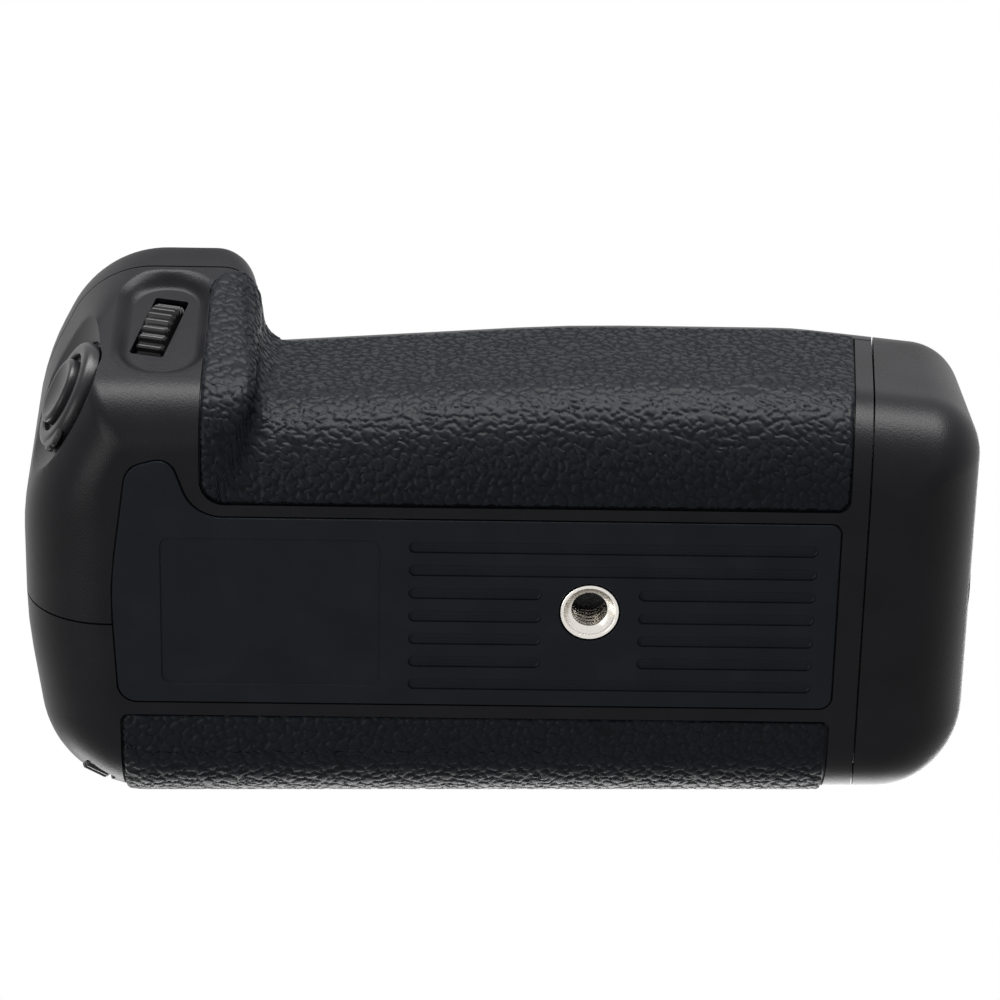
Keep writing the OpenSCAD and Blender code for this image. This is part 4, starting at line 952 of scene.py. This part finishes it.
def front_shell():
    shell = shell_blank("front_shell_visual", -FAR, y_seam, front_zone(INLAY))
    inside = housing_form("inside", WALL, WALL)
    cut(inside, placed(rod(PAD_R, -WALL, SHUTTER_SINK), at_shutter()))
    pad = block("pad", (-SCOOP_W / 2, -SCOOP_H / 2, 0), (SCOOP_W / 2, SCOOP_H / 2, SCOOP_DEPTH + WALL))
    cut(inside, placed(pad, at_scoop(SCOOP_DEPTH + WALL), moved(0, -SCOOP_DROP, 0)))
    seam = block("seam", (-FAR, y_seam - SEAM, -FAR), (plate_x0 + 2, y_seam + 1, FAR))
    cut(seam, housing_form("seam_floor", 0.9, 0.9))
    cut(shell, inside, seam, scoop(), placed(shutter_hollow(), at_shutter()))
    cut(shell, placed(dial_slot(front_slot_h, WALL, 6), at_front_dial(SCOOP_DEPTH)))
    room = dial_slot(2 * FRONT_DIAL_R + SLOT_GAP, WALL + 4, 0)
    cut(shell, placed(room, at_front_dial(SCOOP_DEPTH + SLOT_LIP)))
    cut(shell, placed(sleeve_hole(SHUTTER_R), at_shutter()), placed(sleeve_hole(FUNCTION_R), at_function()))
    cut(shell, placed(rod(FUNCTION_R + 2, 0, 3, FUNCTION_R + 3.2), at_function()))
    return finished(shell, "shell", "housing", "front_shell")


focus_x = x_left + 24
selector_x = x_left + 37
SELECTOR_HOLE_R = 6.3
wheel_y = y_socket + 23
wheel_r = y_rear + 1.2 - wheel_y
z_wheel = 34.3


def rear_shell():
    shell = shell_blank("rear_shell_visual", y_seam, FAR, rear_zone(INLAY))
    cut(shell, housing_form("inside", WALL, WALL))
    cut(shell, placed(dial_slot(2 * REAR_DIAL_R + 2 * SLOT_GAP, WALL + 6, 6), at_rear_corner(0)))
    cut(shell, placed(sleeve_hole(FOCUS_R), at_rear(focus_x, focus_z)))
    cut(shell, placed(rod(SELECTOR_HOLE_R, -20, 10), at_rear(selector_x, selector_z)))
    cut(shell, block("notch", (socket_x - wheel_r, y_rear - WALL - 3, z_wheel - MOVE_GAP),
                     (socket_x + wheel_r, FAR, FAR)))
    return finished(shell, "shell", "housing", "rear_shell")


def node_centres(node):
    """The middle of each loose solid of a CAD node, seen from above."""
    bm = bmesh.new()
    bm.from_mesh(frame["nodes"][node].data)
    bmesh.ops.remove_doubles(bm, verts=bm.verts, dist=1e-6)
    left, centres = set(bm.verts), []
    while left:
        group, edge = set(), [left.pop()]
        while edge:
            vertex = edge.pop()
            group.add(vertex)
            for link in vertex.link_edges:
                other = link.other_vert(vertex)
                if other in left:
                    left.discard(other)
                    edge.append(other)
        points = np.array([v.co for v in group]) / MM
        centres.append((points.min(0) + points.max(0)) / 2)
    bm.free()
    return centres


ABOVE = 60.0
BUSH_R = 5.0
PIN_R = 1.5
LID_SCREW_R = 1.4
LID_HEAD_R = 2.45
LID_HEAD_DEPTH = 1.6
DRIVE_R = 10.3
DRIVE_H = 3.3


def top_shell():
    shell = housing_form("top_shell_visual")
    combine(shell, block("lid", (-FAR, -FAR, z_lid), (FAR, FAR, FAR)), "INTERSECT")
    cut(shell, beyond_joint(x_cap), housing_form("inside", WALL, WALL))
    cut(shell, placed(rod(BUSH_R + PRESS, z_roof - 1, ABOVE), moved(socket_x, y_socket, 0)))
    for x, y, _ in node_centres("locating_pins"):
        cut(shell, placed(rod(PIN_R + PRESS, z_roof - 1, ABOVE), moved(x, y, 0)))
    for x, y, _ in node_centres("lid_screws"):
        head = rod(LID_HEAD_R, body_h - LID_HEAD_DEPTH, ABOVE)
        bore = combine(rod(LID_SCREW_R, z_lid - 1, ABOVE), head, "UNION")
        cut(shell, placed(bore, moved(x, y, 0)))
    cut(shell, placed(rod(DRIVE_R, z_lid - 1, z_lid + DRIVE_H), moved(socket_x, wheel_y, 0)))
    low, high = node_box("signal_connector")
    cut(shell, block("window", (low[0] - PRESS, low[1] - PRESS, z_roof - 1),
                     (high[0] + PRESS, high[1] + PRESS, ABOVE)))
    return finished(shell, "shell", "housing", "top_shell")


def end_cap():
    cap = housing_form("end_cap_visual")
    combine(cap, beyond_joint(x_cap + SEAM), "INTERSECT")
    inside = housing_form("inside", WALL, WALL)
    combine(inside, block("part", (-FAR, -FAR, -FAR), (x_end - WALL - LATCH_RECESS, FAR, FAR)), "INTERSECT")
    cut(cap, inside, placed(rod(LATCH_R + MOVE_GAP, 0, 10, count=128), at_latch(x_end - LATCH_RECESS)))
    cut(cap, placed(rod(3 + MOVE_GAP, 0, 19), at_latch(x_cap)))
    return finished(cap, "shell", "tray", "end_cap")


# Socket and controls
PITCH = 1.27
THREAD = 0.3
THREAD_FADE = 0.5
SOCKET_R = 2.85
THREAD_Z0 = 1.5
THREAD_Z1 = 7.5


def threaded(name, profile_low, profile_high, radius, z0, z1, count=72):
    """A ring of revolution whose bore between two heights carries a helical thread."""
    rings = hoops(profile_low, count)
    for z in np.arange(z0, z1 + ON_AXIS, PITCH / 10):
        fade = min(1.0, (z - z0) / THREAD_FADE, (z1 - z) / THREAD_FADE)
        row = []
        for k in range(count):
            phase = (z / PITCH - k / count) % 1
            r = radius + THREAD * fade * (1 - abs(2 * phase - 1))
            row.append((r * cos(360 * k / count), r * sin(360 * k / count), z))
        rings.append(row)
    return wrapped(name, rings + hoops(profile_high, count))


def tripod_socket():
    rim = rounded([(3.85, 0.45, 0.1), (4.1, 0.15, 0.06), (RIM_R, 0.15, 0.12), (RIM_R, 2.2, 0),
                   (8, 2.2, 0.1), (8, 4, 0.1), (5.5, 4, 0), (5.5, 7.6, 0.2)], 15)
    socket = threaded("tripod_socket_visual", [(3.2, 1.2), (SOCKET_R, 1.45)], rim[::-1] + [(3.5, 0.9)],
                      SOCKET_R, THREAD_Z0, THREAD_Z1)
    placed(socket, moved(socket_x, y_socket, 0))
    return finished(socket, "nickel", "housing", "tripod_socket", 40)


CAP_H = 3.4
CAP_R = 0.6
CAP_BREAK = 0.2
LIP_W = 0.9
STEM_R = 1.2
DISH_STEPS = 14


def button(name, radius, proud, dish, place):
    lip = radius - LIP_W
    side = [(0, -CAP_H), (radius - CAP_BREAK, -CAP_H), (radius, CAP_BREAK - CAP_H)]
    side += [(radius - CAP_R + CAP_R * cos(a), proud - CAP_R + CAP_R * sin(a)) for a in range(0, 91, 15)]
    shares = [1 - k / DISH_STEPS for k in range(DISH_STEPS + 1)]
    top = [(lip * share, proud - dish * (1 - share ** 2)) for share in shares]
    piece = lathe(name, side + top)
    combine(piece, rod(STEM_R, -CAP_H - 1, 1 - CAP_H), "UNION")
    return placed(piece, place)


def buttons():
    rows = [
        ("shutter", SHUTTER_R, 3.6, 0.7, at_shutter()),
        ("function", FUNCTION_R, 0.9, 0.3, at_function()),
        ("focus", FOCUS_R, 0.5, -0.3, at_rear(focus_x, focus_z)),
    ]
    for body, radius, proud, dish, place in rows:
        piece = button(f"{body}_button_visual", radius, proud, dish, place)
        finished(piece, "control", body, f"{body}_button")


LOCK_BORE = SHUTTER_R + 2 * RUN_GAP + SLEEVE_T
LOCK_LIFT = 0.35
LOCK_H = 2.2
NUB_TURN = -35
NUB_LIFT = 0.85
NUB_PITCH = 1.4
NUB_FURROW_R = 0.32


def lock_ring():
    """The ring round the shutter button: a soft dome with a ribbed thumb nub."""
    section = rounded([(LOCK_BORE, 0, 0.1), (LOCK_R, 0, 0.15), (LOCK_R, LOCK_H, 1.3),
                       (LOCK_BORE, LOCK_H, 0.35)], 9)
    ring_piece = lathe("lock_ring_visual", section, 144)
    outline = rounded([(LOCK_R - 1.6, -3.0, 0.4), (LOCK_R + 0.6, -2.6, 0.8), (LOCK_R + 1.4, -1.2, 0.7),
                       (LOCK_R + 1.4, 1.2, 0.7), (LOCK_R + 0.6, 2.6, 0.8), (LOCK_R - 1.6, 3.0, 0.4)], 10)
    steps = [(-0.3, NUB_LIFT), (0, NUB_LIFT + 0.25), (0, LOCK_H - 0.75), (-0.15, LOCK_H - 0.45),
             (-0.5, LOCK_H - 0.3)]
    nub = stepped("nub", anticlockwise(outline), steps)
    for k in (-1, 0, 1):
        furrow = rod(NUB_FURROW_R, -1, LOCK_H + 1, count=24)
        cut(nub, placed(furrow, moved(LOCK_R + 1.5, k * NUB_PITCH, 0)))
    combine(ring_piece, placed(nub, turned(0, 0, NUB_TURN)), "UNION")
    placed(ring_piece, at_shutter(), moved(0, 0, LOCK_LIFT))
    return finished(ring_piece, "control", "lock", "lock_ring", 40)


RIB_PITCH = 1.8
RIB_DEPTH = 0.7
HUB_STEP = 1.6


def ribbed_outline(radius, ribs, depth, steps=10):
    """A circle with flat-topped ribs and rounded furrows."""
    out = []
    for k in range(ribs * steps):
        phase = abs((k / steps) % 1 - 0.5) * 2
        share = min(max((phase - 0.2) / 0.55, 0), 1)
        r = radius - depth * (1 - share * share * (3 - 2 * share))
        out.append((r * cos(360 * k / (ribs * steps)), r * sin(360 * k / (ribs * steps))))
    return out


def ribbed_wheel(name, radius, width, ribs, depth, edge=0.45):
    outline = np.array(ribbed_outline(radius, ribs, depth))
    half = width / 2
    side = [(radius - HUB_STEP, half), (radius - edge, half), (radius - 0.12, half - edge * 0.7),
            (radius, half - edge)]
    steps = [(r, -z) for r, z in side] + side[::-1]
    return tube(name, [lifted(outline * r / radius, z) for r, z in steps])


def dial(name, node, body, radius, place):
    wheel = ribbed_wheel(name, radius, DIAL_W, round(2 * math.pi * radius / RIB_PITCH), RIB_DEPTH)
    cut(wheel, rod(DIAL_AXLE_R + RUN_GAP, -DIAL_W, DIAL_W))
    placed(wheel, place, turned(0, 90, 0))
    return finished(wheel, "dial", body, node, 40)


def dials():
    front = at_front_dial(SCOOP_DEPTH + FRONT_DIAL_R - DIAL_PROUD)
    rear = at_rear_corner(REAR_DIAL_R - REAR_DIAL_PROUD)
    dial("front_dial_visual", "front_dial", "front_wheel", FRONT_DIAL_R, front)
    dial("rear_dial_visual", "rear_dial", "rear_wheel", REAR_DIAL_R, rear)


base_plate()
grip_rubbers()
front_shell()
rear_shell()
top_shell()
end_cap()
tripod_socket()
buttons()
lock_ring()
dials()

# Light, floor and camera, in metres and watts
LAMP_AIM = Vector((0, 0, 0.02))
FLOOR_HALF = 3.0
FLOOR_DROP = 0.0003
AMBIENT = 0.6


def area_lamp(name, place, size, power):
    data = bpy.data.lights.new(name, "AREA")
    data.shape = "RECTANGLE"
    data.size, data.size_y = size
    data.energy = power
    lamp = bpy.data.objects.new(name, data)
    lamp.location = place
    lamp.rotation_euler = (LAMP_AIM - lamp.location).to_track_quat("-Z", "Y").to_euler()
    lamp.visible_camera = False
    bpy.context.scene.collection.objects.link(lamp)
    return lamp


area_lamp("key", (0.05, -0.75, 0.14), (0.9, 0.35), 21)
area_lamp("fill", (-0.5, -0.1, -0.6), (0.5, 0.5), 4)
area_lamp("top", (0.2, 0.6, 0.8), (0.6, 0.6), 5)
area_lamp("back", (-0.1, 0.75, 0.3), (0.9, 0.4), 7)


def white_world():
    world = bpy.data.worlds.new("studio")
    bpy.context.scene.world = world
    world.use_nodes = True
    nodes, links = world.node_tree.nodes, world.node_tree.links
    nodes.clear()
    ray = nodes.new("ShaderNodeLightPath")
    either = nodes.new("ShaderNodeMath")
    either.operation = "MAXIMUM"
    links.new(ray.outputs["Is Camera Ray"], either.inputs[0])
    links.new(ray.outputs["Is Glossy Ray"], either.inputs[1])
    any_seen = nodes.new("ShaderNodeMath")
    any_seen.operation = "MAXIMUM"
    links.new(either.outputs[0], any_seen.inputs[0])
    links.new(ray.outputs["Is Transmission Ray"], any_seen.inputs[1])
    seen, ambient = nodes.new("ShaderNodeBackground"), nodes.new("ShaderNodeBackground")
    seen.inputs["Color"].default_value = (1, 1, 1, 1)
    ambient.inputs["Color"].default_value = (0.95, 0.97, 1, 1)
    ambient.inputs["Strength"].default_value = AMBIENT
    mix, out = nodes.new("ShaderNodeMixShader"), nodes.new("ShaderNodeOutputWorld")
    links.new(any_seen.outputs[0], mix.inputs["Fac"])
    links.new(ambient.outputs[0], mix.inputs[1])
    links.new(seen.outputs[0], mix.inputs[2])
    links.new(mix.outputs[0], out.inputs["Surface"])


def floor():
    """A pale floor that is seen from above only, since the camera looks up from below."""
    mesh = bpy.data.meshes.new("floor")
    half = FLOOR_HALF
    corners = [(-half, -half, 0), (half, -half, 0), (half, half, 0), (-half, half, 0)]
    mesh.from_pydata(corners, [], [(0, 1, 2, 3)])
    piece = bpy.data.objects.new("floor", mesh)
    piece.location.z = -FLOOR_DROP
    bpy.context.scene.collection.objects.link(piece)
    material, nodes, links, surface = shader("floor")
    surface.inputs["Base Color"].default_value = (0.82, 0.82, 0.82, 1)
    surface.inputs["Roughness"].default_value = 0.9
    side, clear = nodes.new("ShaderNodeNewGeometry"), nodes.new("ShaderNodeBsdfTransparent")
    ray, shown = nodes.new("ShaderNodeLightPath"), nodes.new("ShaderNodeMath")
    shown.operation = "SUBTRACT"
    shown.use_clamp = True
    links.new(ray.outputs["Is Camera Ray"], shown.inputs[0])
    links.new(side.outputs["Backfacing"], shown.inputs[1])
    mix = nodes.new("ShaderNodeMixShader")
    links.new(shown.outputs[0], mix.inputs["Fac"])
    links.new(clear.outputs[0], mix.inputs[1])
    links.new(surface.outputs[0], mix.inputs[2])
    links.new(mix.outputs[0], nodes["Material Output"].inputs["Surface"])
    mesh.materials.append(material)


FOCAL_PX = 3500.0
FRAME_PX = 1000.0
SENSOR = 36.0
TILT = 22.5
ROLL = 0.73
YAW = 1.2
DISTANCE = 540.4
AIM_X = -0.42
AIM_Y = y_socket - 18.95


def camera():
    """A long lens from below and in front."""
    data = bpy.data.cameras.new("camera")
    data.sensor_width = SENSOR
    data.lens = SENSOR * FOCAL_PX / FRAME_PX
    data.clip_start = 0.01
    look = np.array([sin(YAW), sin(TILT) * cos(YAW), cos(TILT) * cos(YAW)])
    look /= np.linalg.norm(look)
    up = np.array([0, -cos(TILT), sin(TILT)])
    up -= look * (up @ look)
    up /= np.linalg.norm(up)
    right = np.cross(look, up)
    up, right = up * cos(ROLL) - right * sin(ROLL), right * cos(ROLL) + up * sin(ROLL)
    where = (np.array([AIM_X, AIM_Y, 0]) - DISTANCE * look) * MM
    piece = bpy.data.objects.new("camera", data)
    turn = np.column_stack([right, up, -look])
    piece.matrix_world = Matrix([(*row, place) for row, place in zip(turn, where)] + [(0, 0, 0, 1)])
    bpy.context.scene.collection.objects.link(piece)
    bpy.context.scene.camera = piece


white_world()
floor()
camera()
bpy.context.scene.view_settings.view_transform = "Standard"
